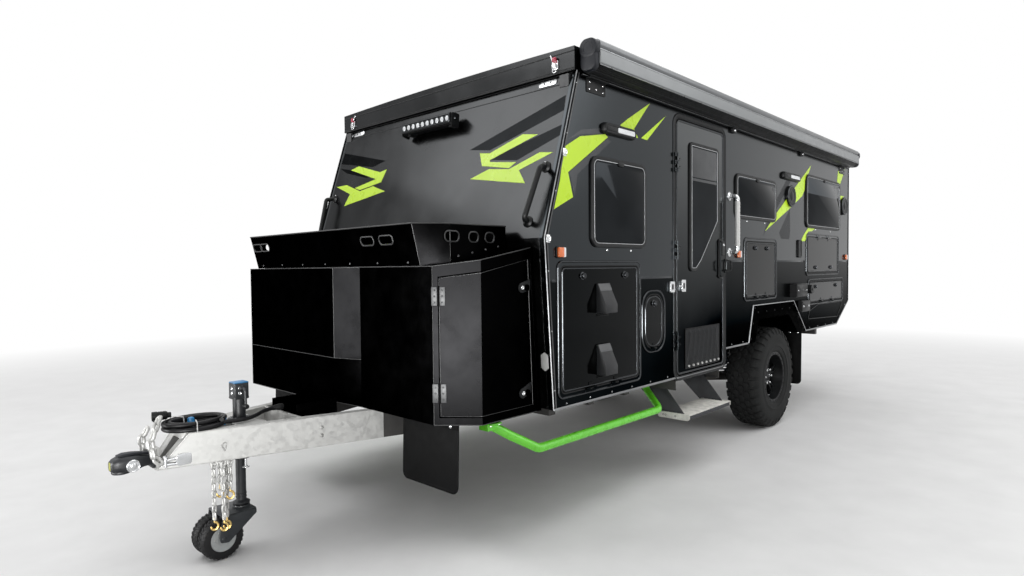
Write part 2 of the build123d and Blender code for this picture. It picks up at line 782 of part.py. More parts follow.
def rim():
    """Steel wheel with its disc, hub and drum, for the door side."""
    half = tyre_width / 2 - 22
    middle = wheel_outer_x - tyre_width / 2
    barrel = [(-half, rim_radius), (half, rim_radius), (half, rim_radius - 14), (-half, rim_radius - 14)]
    disc_x = 45
    bore = stub_radius + running_gap
    disc = [(disc_x, rim_radius - 10), (disc_x + 12, rim_radius - 10), (disc_x + 12, bore), (disc_x, bore)]
    drum = [(disc_x - 95, 150), (disc_x + 2, 150), (disc_x + 2, bore), (disc_x - 95, bore)]
    body = None
    for outline in (barrel, disc, drum):
        ring = revolve(Plane.XY * make_face(Polyline(*outline, close=True)), axis=Axis.X)
        body = ring if body is None else body + ring
    for k in range(8):
        spot = Rot(45 * k, 0, 0) * Pos(disc_x + 6, 0, 172) * Rot(0, 90, 0)
        body -= spot * Cylinder(19, 40)
    cap_end = wheel_hub_x - middle + 12
    cap = Cylinder(50, cap_end - disc_x - 4) - Pos(0, 0, -10) * Cylinder(bore, cap_end - disc_x)
    body += Pos((disc_x + 12 + cap_end) / 2 + 4, 0, 0) * Rot(0, 90, 0) * cap
    return Pos(middle, 0, tyre_radius) * body


# ---- drawbar ----------------------------------------------------------------------------------------
def drawbar_beam():
    half = rail_width / 2
    nose = 118
    points = [(beam_x(beam_tip_y) - half, beam_tip_y), (beam_x(beam_tip_y) + half, beam_tip_y),
              (beam_x(beam_joint_y) + half, beam_joint_y), (beam_x(beam_joint_y) - half, beam_joint_y)]
    beam = plate_z(points, beam_low, beam_top)
    cut = [(beam_tip_y - 5, beam_low), (beam_tip_y + nose, beam_top + 1), (beam_tip_y - 5, beam_top + 1)]
    return beam - plate_x(cut, -10, 200)


def cross_plate(y0, y1, z0, z1):
    """Plate between the two beams, cut to their slope."""
    reach0, reach1 = beam_x(y0), beam_x(y1)
    return plate_z([(-reach0, y0), (reach0, y0), (reach1, y1), (-reach1, y1)], z0, z1)


jockey_post_radius = 30
jockey_head_z = 770
jockey_tube_radius = 24


box_plate_y = -3868        # plate across the beams that carries the small locker


def drawbar():
    frame = drawbar_beam()
    frame += other_side(drawbar_beam())
    frame += block(-62, 62, beam_tip_y - head_plate, beam_tip_y + 2, beam_low, beam_low + 100)
    frame += cross_plate(beam_tip_y, -4240, beam_low, beam_low + 12)
    frame += cross_plate(-4385, -4240, beam_top - 30, beam_top)
    frame += cross_plate(-4160, -4030, beam_top - 12, beam_top)
    frame += cross_plate(-4160, -4030, beam_low, beam_low + 12)
    frame += cross_plate(box_plate_y - 12, box_plate_y, beam_low, beam_top)
    frame -= rod((0, jockey_y, beam_low - 5), (0, jockey_y, beam_top + 5), jockey_post_radius + 0.2)
    return frame


def coupling():
    """Off-road coupling: block on the head plate, lever, release disc and pin ring."""
    rear = beam_tip_y - head_plate
    body = block(-45, 45, rear - 112, rear, beam_low + 8, beam_low + 78)
    body = fillet(body.edges().filter_by(Axis.Z), 18)
    body += block(-55, 55, rear - 14, rear, beam_low + 4, beam_low + 90)
    nose = block(-26, 26, coupling_tip_y, rear - 100, beam_low + 24, beam_low + 68)
    pin_y, pin_z = coupling_tip_y + 30, beam_low + 46
    bore = rod((-60, pin_y, pin_z), (60, pin_y, pin_z), coupling_bore)
    disc = rod((40, -4545, beam_low + 42), (58, -4545, beam_low + 42), 26)
    lever = block(-14, 14, rear - 80, rear - 10, beam_low + 78, beam_low + 96)
    return body + (nose - bore) + disc + lever


coupling_bore = 11
head_plate = 12


def jockey_post():
    """Outer tube in its clamp, with the winding head."""
    post_low = 450
    middle = Pos(0, jockey_y, (post_low + jockey_head_z) / 2)
    length = jockey_head_z - post_low
    bore = Cylinder(jockey_tube_radius + running_gap, length + 2)
    post = middle * (Cylinder(jockey_post_radius, length) - bore)
    flange = Pos(0, jockey_y, beam_top + 5.1) * Cylinder(52, 10)
    head = block(-34, 34, jockey_y - 36, jockey_y + 36, jockey_head_z, jockey_head_z + 52)
    crank = tube([(30, jockey_y, 800), (78, jockey_y, 800), (78, jockey_y, 700)], 16, 7)
    flange -= Pos(0, jockey_y, beam_top) * Cylinder(jockey_tube_radius + running_gap, 60)
    return post + flange + head + crank


fork_bridge_z = 2 * jockey_wheel_radius + move_gap + 1
swivel_z = fork_bridge_z + 16          # the fork turns here, on the foot of the leg
jockey_axle_radius = 8
jockey_lift = 200          # how far the leg winds up
jockey_leg_top = jockey_head_z - jockey_lift - move_gap


def jockey_leg():
    """Inner tube that winds down out of the post."""
    low = swivel_z + running_gap
    foot = Pos(0, jockey_y, low + 10) * Cylinder(40, 20)
    return foot + rod((0, jockey_y, low), (0, jockey_y, jockey_leg_top), jockey_tube_radius)


def jockey_yoke():
    """Swivelling fork outside the two wheels."""
    centre_y = jockey_y - jockey_trail
    axle_z = jockey_wheel_radius
    bridge_high = fork_bridge_z + 8
    fork = block(-84, 84, centre_y - 20, jockey_y + 40, fork_bridge_z, bridge_high)
    fork += rod((0, jockey_y, bridge_high - 1), (0, jockey_y, swivel_z), 40)
    cheek = [(jockey_y + 40, bridge_high), (centre_y - 20, bridge_high), (centre_y - 24, axle_z),
             (centre_y + 24, axle_z - 18), (jockey_y + 40, fork_bridge_z - 16)]
    for x in (-84, 78):
        fork += plate_x(cheek, x, x + 6)
    return fork + rod((-90, centre_y, axle_z), (90, centre_y, axle_z), jockey_axle_radius)


def jockey_wheels():
    """Twin rubber wheels on one hub."""
    centre_y = jockey_y - jockey_trail
    hub = Rot(0, 90, 0) * Cylinder(26, 150)
    for side in (-1, 1):
        hub += Pos(side * 41, 0, 0) * Rot(0, 90, 0) * Cylinder(jockey_wheel_radius, jockey_wheel_width)
    hub -= Rot(0, 90, 0) * Cylinder(jockey_axle_radius + running_gap, 160)
    return Pos(0, centre_y, jockey_wheel_radius) * hub


def drawbar_box():
    """Small locker between the beams, ahead of the front box."""
    return block(-120, 140, box_plate_y, -3640, beam_top - 40, beam_top + 52)


# ---- drawbar lead -----------------------------------------------------------------------------------
lead_radius = 10
coil_y = -4305
coil_half_x = 105
coil_half_y = 135
coil_low = beam_top + 0.5
gland_length = 24
gland = (20, box_plate_y, 670)
lead_points = ((20, box_plate_y - gland_length, 670), (20, -3970, 670), (76, -4056, 656), (92, -4138, 655),
               (80, -4208, 660))


def cord_radii(points):
    """Arc radius at each inner point: as large as its two runs allow."""
    radii = []
    for a, b, c in zip(points, points[1:], points[2:]):
        before, after = Vector(*b) - Vector(*a), Vector(*c) - Vector(*b)
        turn = radians(before.get_angle(after))
        radii.append(0.45 * min(before.length, after.length) / tan(turn / 2))
    return radii


def lead():
    """Free stretch of the lead from the gland of the small locker to the coil."""
    radii = cord_radii(lead_points)
    print("lead bend radii", [round(r) for r in radii])
    path = FilletPolyline(*lead_points, radius=radii)
    return sweep(Plane(origin=path @ 0, z_dir=path % 0) * Circle(lead_radius), path=path)


def lead_coil():
    """Outer shape of the coiled part of the lead, on the drawbar."""
    outer = Ellipse(coil_half_x + lead_radius, coil_half_y + lead_radius)
    inner = Ellipse(coil_half_x - 3 * lead_radius, coil_half_y - 3 * lead_radius)
    return Pos(0, coil_y, coil_low) * extrude(outer - inner, amount=4 * lead_radius)


def lead_gland():
    x, y, z = gland
    return rod((x, y + 1, z), (x, y - gland_length, z), 15)


def lead_plug():
    """Twelve-pin plug that lies on the coil."""
    z = coil_low + 4 * lead_radius + seal_gap + 22
    return rod((-62, -4385, z), (-80, -4462, z), 22)


# ---- pieces under and around the body --------------------------------------------------------------
side_rail_radius = 23
side_rail_x = 1035
side_rail_z = 465


def side_rail():
    route = [(930, -3300, 618), (985, -3190, 545), (side_rail_x, -3050, side_rail_z),
             (side_rail_x, -1880, side_rail_z), (890, -1800, 560), (850, -1800, 670)]
    rail = tube(route, 60, side_rail_radius)
    front_tab = block(900, 960, -3330, -3275, 590, box_low)
    rear_tab = block(825, 875, -1824, -1776, 650, raiser_low)
    return rail + front_tab + rear_tab


step_y = (-1725, -1130)
step_x = (948, 1162)
step_z = 386


def step_housing():
    """Channel that the step slides in, under the outriggers."""
    y0, y1 = step_y[0] - 14, step_y[1] + 14
    top = raiser_low - 60
    shell = block(620, 1068, y0, y1, top - 64, top)
    shell -= block(619, 1069, y0 + 6, y1 - 6, top - 70, top - 6)
    for y in (y0, y1 - 24):
        shell += block(640, 1060, y, y + 24, top - 64, top - 58)
    shell += block(640, 780, cross_ys[1] + 5, y0 + 20, top - 1, raiser_low)
    shell += block(640, 780, cross_ys[2] - 20, y1, top - 1, raiser_low)
    return shell


def entry_step():
    """Pull-out tread on two side plates."""
    top = raiser_low - 60
    tread = block(*step_x, step_y[0], step_y[1], step_z, step_z + 22)
    tread = fillet(tread.edges().filter_by(Axis.Z), 20)
    for y in (step_y[0] + 20, step_y[1] - 26):
        plate = [(step_x[0] + 10, step_z + 1), (step_x[1] - 30, step_z + 1), (step_x[0] - 10, top - 12),
                 (step_x[0] - 200, top - 12), (step_x[0] - 200, top - 50)]
        tread += plate_y(plate, y, y + 6)
    for y in (step_y[0] - 6, step_y[1] - 20):
        tread += block(step_x[0] - 240, step_x[0] + 20, y, y + 26, top - 57.7, top - 20)
    return tread


def mudflaps():
    flap = 6
    front = block(box_half - 520, box_half - 100, -3460, -3460 + flap, 305, box_low)
    rear = block(half_width - 295, half_width - 15, 560, 560 + flap, 285, sill_z)
    pair = front + rear
    return pair + other_side(pair)


grab_handle_z = (1465, 1870)


def grab_handle():
    """Entry grab handle: two feet and a straight grip."""
    x, y = half_width + 62, -975
    low, high = grab_handle_z
    bar = tube([(half_width + 6, y, high), (x, y, high), (x, y, low), (half_width + 6, y, low)], 26, 15)
    for z in grab_handle_z:
        bar += rod((half_width, y, z), (half_width + 8, y, z), 26)
    return bar


def front_grab_handles():
    """Tubular handles on the raked front wall."""
    stand = 60
    points = []
    for x, z, out in ((1000, 1880, 0), (1015, 1872, 1), (975, 1612, 1), (950, 1600, 0)):
        points.append((x, nose_y(z) - 2 - stand * out, z))
    handle = tube(points, 22, 14)
    for x, z in ((1000, 1880), (950, 1600)):
        handle += rod((x, nose_y(z), z), (x, nose_y(z) - 8, z), 22)
    handle &= ahead_of_nose(0)
    return handle + other_side(handle)


def light_bar():
    """LED bar on two feet on the front wall."""
    z = 2265
    y = nose_y(z) - 62
    bar = block(-235, 235, y - 32, y + 32, z - 30, z + 30)
    for x in (-200, 200):
        bar += block(x - 15, x + 15, y, nose_y(z - 20), z - 45, z - 25) & ahead_of_nose(0)
    return bar


def roof_latches():
    """Over-centre latch bases on the front and rear walls at the four roof corners."""
    x0, x1 = half_width - 95, half_width - 35
    z0, z1 = body_top - 75, body_top - 12
    front = block(x0, x1, nose_y(z1) - 22, nose_y(z0) + 30, z0, z1) & ahead_of_nose(0)
    rear = block(x0, x1, tail_y, tail_y + 18, z0, z1)
    pair = front + rear
    return pair + other_side(pair)


def lamps():
    """Awning lamps, tail lamps and speakers."""
    face = half_width
    group = round_plate_x(-2556, -2247, 2098, 2152, 20, face, face + 22)
    group += round_plate_x(36, 410, 2098, 2152, 20, face, face + 22)
    for y, z in ((220, 1960), (1703, 1968)):
        group += rod((face, y, z), (face + 18, y, z), 88)
    for x in (-990, 850):
        group += block(x, x + 140, tail_y, tail_y + 40, 1120, 1520)
    return group


def wall_fittings():
    """Water inlet box, outlet and shower point below the middle window."""
    face = half_width
    group = block(face, face + 55, 227, 500, 1090, 1203)
    group += rod((face, 575, 1150), (face + 70, 575, 1150), 38)
    group += block(face, face + 30, 430, 640, 950, 1050)
    group += block(face, face + 10, 403, 479, 1438, 1587)
    group += block(face, face + 14, -1840, -1768 - 10, 1209, 1268)
    return group


def water_tanks():
    """Two plastic tanks slung under the floor between the rails."""
    tanks = None
    for y0, y1 in ((-2020, -1200), (250, 1050)):
        tank = block(-520, 520, y0, y1, 520, raiser_low - seal_gap)
        tank = fillet(tank.edges().filter_by(Axis.Z), 60)
        tanks = tank if tanks is None else tanks + tank
    return tanks


# ---- spare wheel --------------------------------------------------------------------------------------
spare_z = 1270
carrier_y = tail_y + 60
spare_y = carrier_y + tyre_width / 2 + 2
carrier_x = 240
spare_disc = 20            # face of the disc that seats on the carrier
spare_bore = 60


def spare_carrier():
    """Uprights from the chassis tail that hold the spare wheel."""
    frame = block(-620, 620, rail_rear_y, rail_rear_y + 80, rail_low + 30, rail_top - 20)
    slope_foot = (rail_rear_y + 40, rail_top - 40)
    for x in (-carrier_x, carrier_x):
        upright = [(slope_foot[0] - 30, slope_foot[1]), (slope_foot[0] + 40, slope_foot[1]),
                   (carrier_y, tail_cut_z - 40), (carrier_y, spare_z + 150), (tail_y + 10, spare_z + 150),
                   (tail_y + 10, tail_cut_z - 30)]
        frame += plate_x(upright, x - 25, x + 25)
    frame += block(-carrier_x, carrier_x, tail_y + 10, carrier_y, spare_z - 120, spare_z + 120)
    frame += rod((0, carrier_y - 10, spare_z), (0, spare_y + spare_disc + 14, spare_z), spare_bore - 0.2)
    frame += rod((0, carrier_y - 10, spare_z), (0, spare_y + spare_disc - seal_gap, spare_z), 95)
    return frame


def spare_wheel():
    """Spare tyre on its rim, facing the rear."""
    half = tyre_width / 2
    outline = [(half - 22, rim_radius), (half, rim_radius + 70), (half - 6, tyre_radius - 42),
               (half - 34, tyre_radius), (-half + 34, tyre_radius), (-half + 6, tyre_radius - 42),
               (-half, rim_radius + 70), (-half + 22, rim_radius), (-half + 22, rim_radius - 14),
               (spare_disc, rim_radius - 14), (spare_disc, spare_bore), (spare_disc + 12, spare_bore),
               (spare_disc + 12, rim_radius - 14), (half - 22, rim_radius - 14)]
    ring = revolve(Plane.XY * make_face(Polyline(*outline, close=True)), axis=Axis.X)
    return Pos(0, spare_y, spare_z) * Rot(0, 0, 90) * ring


# ---- the whole caravan --------------------------------------------------------------------------------
def build():
    left_wall, left_lids = side_wall(left_windows, left_hatches, True)
    right_wall, right_lids = side_wall(right_windows, right_hatches, False)
    for z in door_hinge_heights:
        left_wall += door_hinge(z)[0]
    for z_range in vent_z:
        left_lids["left_front_hatch"] += vent_hood(z_range)
    panes = rear_pane()
    for limits in left_windows:
        panes += window(limits)
    for limits in right_windows:
        panes += other_side(window(limits))
    arch = wheel_arch()
    arm = suspension_arm()
    rail = side_rail()
    left_tyre, left_rim = tyre(), rim()
    pieces = {
        "chassis": chassis(), "low_outriggers": low_outriggers(), "floor_bearers": floor_bearers(),
        "arm_brackets": arm_brackets(), "drawbar": drawbar(), "coupling": coupling(),
        "jockey_post": jockey_post(),
        "jockey_leg": jockey_leg(), "jockey_fork": jockey_yoke(), "jockey_wheels": jockey_wheels(),
        "drawbar_box": drawbar_box() + lead_gland(), "drawbar_lead": lead(), "drawbar_lead_coil": lead_coil(),
        "drawbar_plug": lead_plug(), "front_box": front_box(), "left_box_door": box_door("left"),
        "right_box_door": box_door("right"), "front_tray": front_tray(), "floor": floor_pan(),
        "left_wall": left_wall, "right_wall": other_side(right_wall), "front_wall": front_wall(),
        "rear_wall": rear_wall(), "windows": panes, "wheel_arches": arch + other_side(arch), "roof": roof(),
        "roof_skirt": roof_skirt(), "awning": awning(), "air_conditioner": air_conditioner(),
        "solar_panels": solar_panels(), "entry_door": entry_door(), "entry_door_window": door_window_pane(),
        "door_pocket": door_pocket(), "left_tyre": left_tyre, "left_rim": left_rim,
        "right_tyre": other_side(left_tyre), "right_rim": other_side(left_rim),
        "suspension_arms": arm + other_side(arm), "side_rails": rail + other_side(rail),
        "step_housing": step_housing(), "entry_step": entry_step(), "mudflaps": mudflaps(),
        "entry_grab_handle": grab_handle(), "front_grab_handles": front_grab_handles(),
        "light_bar": light_bar(),
        "roof_latches": roof_latches(), "lamps": lamps(), "wall_fittings": wall_fittings(),
        "water_tanks": water_tanks(), "spare_carrier": spare_carrier(), "spare_wheel": spare_wheel(),
    }
    pieces.update(left_lids)
    for name, lid in right_lids.items():
        pieces[name] = other_side(lid)
    return pieces


def footprint_shift(pieces):
    """Moves the origin to the middle of the footprint, leaving out the free lead and its plug."""
    boxes = [shape.bounding_box() for name, shape in pieces.items()
             if name not in ("drawbar_lead", "drawbar_lead_coil", "drawbar_plug")]
    x_mid = (min(b.min.X for b in boxes) + max(b.max.X for b in boxes)) / 2
    y_mid = (min(b.min.Y for b in boxes) + max(b.max.Y for b in boxes)) / 2
    return Pos(-x_mid, -y_mid, 0)


pieces = build()
shift = footprint_shift(pieces)
os.makedirs("parts", exist_ok=True)
for name, shape in pieces.items():
    export_step(shift * shape, f"parts/{name}.step")
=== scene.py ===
from math import cos, hypot, pi, radians, sin, tan

import bmesh
import bpy
from mathutils import Matrix, Vector


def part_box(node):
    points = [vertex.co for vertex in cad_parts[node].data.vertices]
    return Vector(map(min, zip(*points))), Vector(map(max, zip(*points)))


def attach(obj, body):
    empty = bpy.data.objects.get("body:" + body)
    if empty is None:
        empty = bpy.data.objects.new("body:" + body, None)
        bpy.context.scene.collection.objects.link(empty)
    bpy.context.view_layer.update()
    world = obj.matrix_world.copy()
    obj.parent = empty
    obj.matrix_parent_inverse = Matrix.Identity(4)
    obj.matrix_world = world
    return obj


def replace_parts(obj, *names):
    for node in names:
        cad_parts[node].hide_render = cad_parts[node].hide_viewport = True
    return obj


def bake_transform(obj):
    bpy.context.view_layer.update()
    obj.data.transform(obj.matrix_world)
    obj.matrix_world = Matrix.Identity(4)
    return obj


# Looks of a pop-top caravan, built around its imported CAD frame.
# New pieces are drawn in van coordinates, in metres: X runs to the door side from the centre line,
# Y runs to the tail from the axle, Z is up from the ground. Each piece is then placed by `origin`.

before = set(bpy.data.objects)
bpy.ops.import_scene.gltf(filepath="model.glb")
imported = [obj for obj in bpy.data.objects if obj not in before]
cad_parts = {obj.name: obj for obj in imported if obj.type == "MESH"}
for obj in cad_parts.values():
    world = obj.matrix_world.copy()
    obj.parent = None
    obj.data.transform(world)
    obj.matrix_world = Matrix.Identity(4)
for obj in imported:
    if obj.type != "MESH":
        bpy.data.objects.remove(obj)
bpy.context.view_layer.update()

left_tyre_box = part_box("left_tyre")
right_tyre_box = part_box("right_tyre")
origin = Vector(((left_tyre_box[1].x + right_tyre_box[0].x) / 2,
        (left_tyre_box[0].y + left_tyre_box[1].y) / 2, 0))


def shown(name, data):
    """A new object in the scene, holding data."""
    made = bpy.data.objects.new(name, data)
    bpy.context.scene.collection.objects.link(made)
    return made


def van_box(node):
    """Corners of a CAD node in van coordinates."""
    low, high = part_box(node)
    return low - origin, high - origin


# ---- directions and driving dimensions, in van coordinates ---------------------------------------
X, Y, Z = (1, 0, 0), (0, 1, 0), (0, 0, 1)     # to the door side, to the tail, up
wall_x = 1.080
tail_y = 1.885
body_top = 2.385
skirt_z = 0.650     # foot of the wall before the door
sill_z = 0.770      # foot of the wall behind it
nose = ((-2.985, skirt_z), (-3.045, 1.515), (-2.775, body_top))     # front wall in (y, z), foot to top
tyre_radius = left_tyre_box[1].z / 2
wheel_outer_x = van_box("left_tyre")[1].x
tyre_width = left_tyre_box[1].x - left_tyre_box[0].x
spare_low, spare_high = van_box("spare_wheel")


# ---- drawing in bmesh ----------------------------------------------------------------------------
def arc_corner(before, corner, after, radius, steps):
    """Points of the arc that rounds one corner of a path."""
    corner = Vector(corner)
    a = Vector(before) - corner
    b = Vector(after) - corner
    turn = a.angle(b)
    if turn > pi - 0.01:
        return [corner]
    reach = min(radius / tan(turn / 2), 0.49 * a.length, 0.49 * b.length)
    radius = reach * tan(turn / 2)
    centre = corner + (a.normalized() + b.normalized()).normalized() * radius / sin(turn / 2)
    start = corner + a.normalized() * reach - centre
    end = corner + b.normalized() * reach - centre
    sweep = pi - turn
    points = []
    for k in range(steps + 1):
        t = k / steps
        points.append(centre + (start * sin((1 - t) * sweep) + end * sin(t * sweep)) / sin(sweep))
    return points


def rounded(points, radius, steps=4):
    """A closed outline with all its corners rounded."""
    result = []
    for before, corner, after in zip(points[-1:] + points[:-1], points, points[1:] + points[:1]):
        result += arc_corner(before, corner, after, radius, steps)
    return result


def bent(points, radius, steps=6):
    """An open path with its inner corners rounded."""
    result = [Vector(points[0])]
    for before, corner, after in zip(points, points[1:], points[2:]):
        result += arc_corner(before, corner, after, radius, steps)
    return result + [Vector(points[-1])]


def rect(a0, a1, b0, b1, radius=0.0, steps=5):
    """A closed oblong of (a, b) pairs."""
    corners = [(a0, b0), (a1, b0), (a1, b1), (a0, b1)]
    return rounded(corners, radius, steps) if radius else corners


def on_x(x, outline):
    """An outline of (y, z) pairs on the plane of one x."""
    return [Vector((x, a, b)) for a, b in outline]


def on_y(y, outline):
    """An outline of (x, z) pairs on the plane of one y."""
    return [Vector((a, y, b)) for a, b in outline]


def on_z(z, outline):
    """An outline of (x, y) pairs on the plane of one z."""
    return [Vector((a, b, z)) for a, b in outline]


def circle(count, start=0.0):
    """Evenly spaced angles of one turn."""
    return [start + 2 * pi * k / count for k in range(count)]


class Shape:
    """Faces gathered in van coordinates that become one object."""

    def __init__(self):
        self.mesh = bmesh.new()

    def skin(self, rings, wrap=True, closed=False, caps=True):
        """Faces between rings of points. Wrap closes each ring, closed joins the last to the first."""
        rows = [[self.mesh.verts.new(p) for p in ring] for ring in rings]
        pairs = list(zip(rows, rows[1:])) + ([(rows[-1], rows[0])] if closed else [])
        made = []
        for near, far in pairs:
            for k in range(len(near) if wrap else len(near) - 1):
                n = (k + 1) % len(near)
                made.append(self.mesh.faces.new((near[k], near[n], far[n], far[k])))
        if caps and wrap and not closed:
            made.append(self.mesh.faces.new(rows[0]))
            made.append(self.mesh.faces.new(rows[-1]))
        bmesh.ops.recalc_face_normals(self.mesh, faces=made)
        return made

    def soften(self, faces, bevel, segments=2):
        """Rounds the sharp edges of some faces."""
        if bevel:
            edges = list({e for f in faces for e in f.edges if e.calc_face_angle(0) > 0.5})
            bmesh.ops.bevel(self.mesh, geom=edges, offset=bevel, segments=segments, profile=0.5,
                    affect="EDGES", clamp_overlap=True)

    def slab(self, outline, push, bevel=0.0):
        """A flat outline carried along push."""
        push = Vector(push)
        self.soften(self.skin([outline, [Vector(p) + push for p in outline]]), bevel)

    def box(self, x0, x1, y0, y1, z0, z1, bevel=0.0015):
        self.slab(on_z(z0, rect(x0, x1, y0, y1)), (0, 0, z1 - z0), bevel)

    def moulding(self, path, out, profile, closed=True):
        """A strip along a flat path. Its profile is a loop of (inward, out) pairs."""
        out = Vector(out)
        path = [Vector(p) for p in path]
        if closed:
            turn = sum(((a.cross(b)).dot(out) for a, b in zip(path, path[1:] + path[:1])))
            path = path if turn > 0 else path[::-1]
        rings = []
        last = len(path) - 1
        for k, p in enumerate(path):
            before = path[k - 1] if closed or k else None
            after = path[(k + 1) % len(path)] if closed or k < last else None
            ways = [out.cross((q - r).normalized()) for q, r in ((p, before), (after, p)) if q and r]
            inward = (ways[0] + ways[-1]) / (1 + ways[0].dot(ways[-1]))
            rings.append([p + inward * u + out * w for u, w in profile])
        return self.skin(rings, closed=closed)

    def tube(self, path, radius, sides=12, closed=False):
        """A round bar along a path. The radius may be one number or one for each point."""
        path = [Vector(p) for p in path]
        count = len(path)
        radii = radius if isinstance(radius, (list, tuple)) else [radius] * count
        ahead = [(path[(k + 1) % count] - path[k - 1] if closed
                else path[min(k + 1, count - 1)] - path[max(k - 1, 0)]).normalized()
                for k in range(count)]
        side = ahead[0].orthogonal().normalized()
        rings = []
        for p, way, r in zip(path, ahead, radii):
            side = (side - way * side.dot(way)).normalized()
            up = way.cross(side)
            rings.append([p + (side * cos(t) + up * sin(t)) * r for t in circle(sides)])
        return self.skin(rings, closed=closed)

    def turned(self, centre, axis, profile, steps=32, closed=False, start=0.0):
        """A profile of (along, radius) pairs turned about an axis."""
        centre = Vector(centre)
        axis = Vector(axis).normalized()
        side = axis.orthogonal().normalized()
        up = axis.cross(side)
        rings = [[centre + axis * a + (side * cos(t) + up * sin(t)) * max(r, 0.0001)
                for t in circle(steps, start)] for a, r in profile]
        return self.skin(rings, closed=closed)

    def bolt(self, at, axis, radius):
        """Hexagon head on a washer."""
        at = Vector(at)
        self.turned(at, axis, [(-0.001, 1.75 * radius), (0.22 * radius, 1.75 * radius),
                (0.3 * radius, 1.6 * radius)], 14)
        self.turned(at, axis, [(0.25 * radius, radius), (0.85 * radius, radius),
                (radius, 0.86 * radius)], 6)

    def screw(self, at, axis, radius):
        """Low domed screw head with a dimple."""
        self.turned(at, axis, [(-0.0005, radius), (0.25 * radius, radius), (0.5 * radius, 0.8 * radius),
                (0.6 * radius, 0.45 * radius), (0.35 * radius, 0.3 * radius)], 10)

    def link(self, centre, along, across, length, width, wire):
        """One oval chain link."""
        centre, along, across = Vector(centre), Vector(along).normalized(), Vector(across)
        across = (across - along * across.dot(along)).normalized()
        half, radius = (length - width) / 2, width / 2 - wire
        path = []
        for t in circle(16):
            lean = half if cos(t) > 0 else -half
            path.append(centre + along * (lean + cos(t) * radius) + across * sin(t) * radius)
        self.tube(path, wire, 7, closed=True)

    def chain(self, path, length, width, wire):
        """Links along a path, each turned a quarter from the last."""
        step = length - 2 * wire
        path = [Vector(p) for p in path]
        travelled, turn = step / 2, 0
        for a, b in zip(path, path[1:]):
            way = b - a
            while travelled < way.length:
                across = way.cross(Vector((1, 0.2, 0.1)))
                if turn % 2:
                    across = way.cross(across)
                self.link(a + way.normalized() * travelled, way, across, length, width, wire)
                travelled += step
                turn += 1
            travelled -= way.length

    def mirrored(self):
        """Adds the mirror image of everything so far on the far side."""
        copy = bmesh.ops.duplicate(self.mesh, geom=self.mesh.faces[:])["geom"]
        verts = [v for v in copy if isinstance(v, bmesh.types.BMVert)]
        for v in verts:
            v.co.x = -v.co.x
        bmesh.ops.reverse_faces(self.mesh, faces=[f for f in copy if isinstance(f, bmesh.types.BMFace)])
        return self


def piece(name, shape, material, body="caravan", slot=None, sharp=38):
    """Makes the object, smooth but for its sharp edges, and lets it ride on a body."""
    data = bpy.data.meshes.new(name)
    bmesh.ops.recalc_face_normals(shape.mesh, faces=shape.mesh.faces)
    shape.mesh.to_mesh(data)
    shape.mesh.free()
    data.materials.append(material)
    data.shade_smooth()
    data.set_sharp_from_angle(angle=radians(sharp))
    made = shown(name, data)
    made.location = origin
    if body:
        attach(made, body)
    slot = slot or usual_slot[material.name]
    return made


def solids(node):
    """Boxes of the separate solids of a CAD node, in van coordinates."""
    copy = bmesh.new()
    copy.from_mesh(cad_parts[node].data)
    bmesh.ops.remove_doubles(copy, verts=copy.verts, dist=0.00002)
    seen, boxes = set(), []
    for first in copy.verts:
        if first in seen:
            continue
        group, waiting = [], [first]
        seen.add(first)
        while waiting:
            v = waiting.pop()
            group.append(v.co - origin)
            for e in v.link_edges:
                other = e.other_vert(v)
                if other not in seen:
                    seen.add(other)
                    waiting.append(other)
        boxes.append((Vector(map(min, *group)), Vector(map(max, *group))))
    copy.free()
    return sorted(boxes, key=lambda b: (round(b[0].x, 2), round(b[0].y, 2), b[0].z))


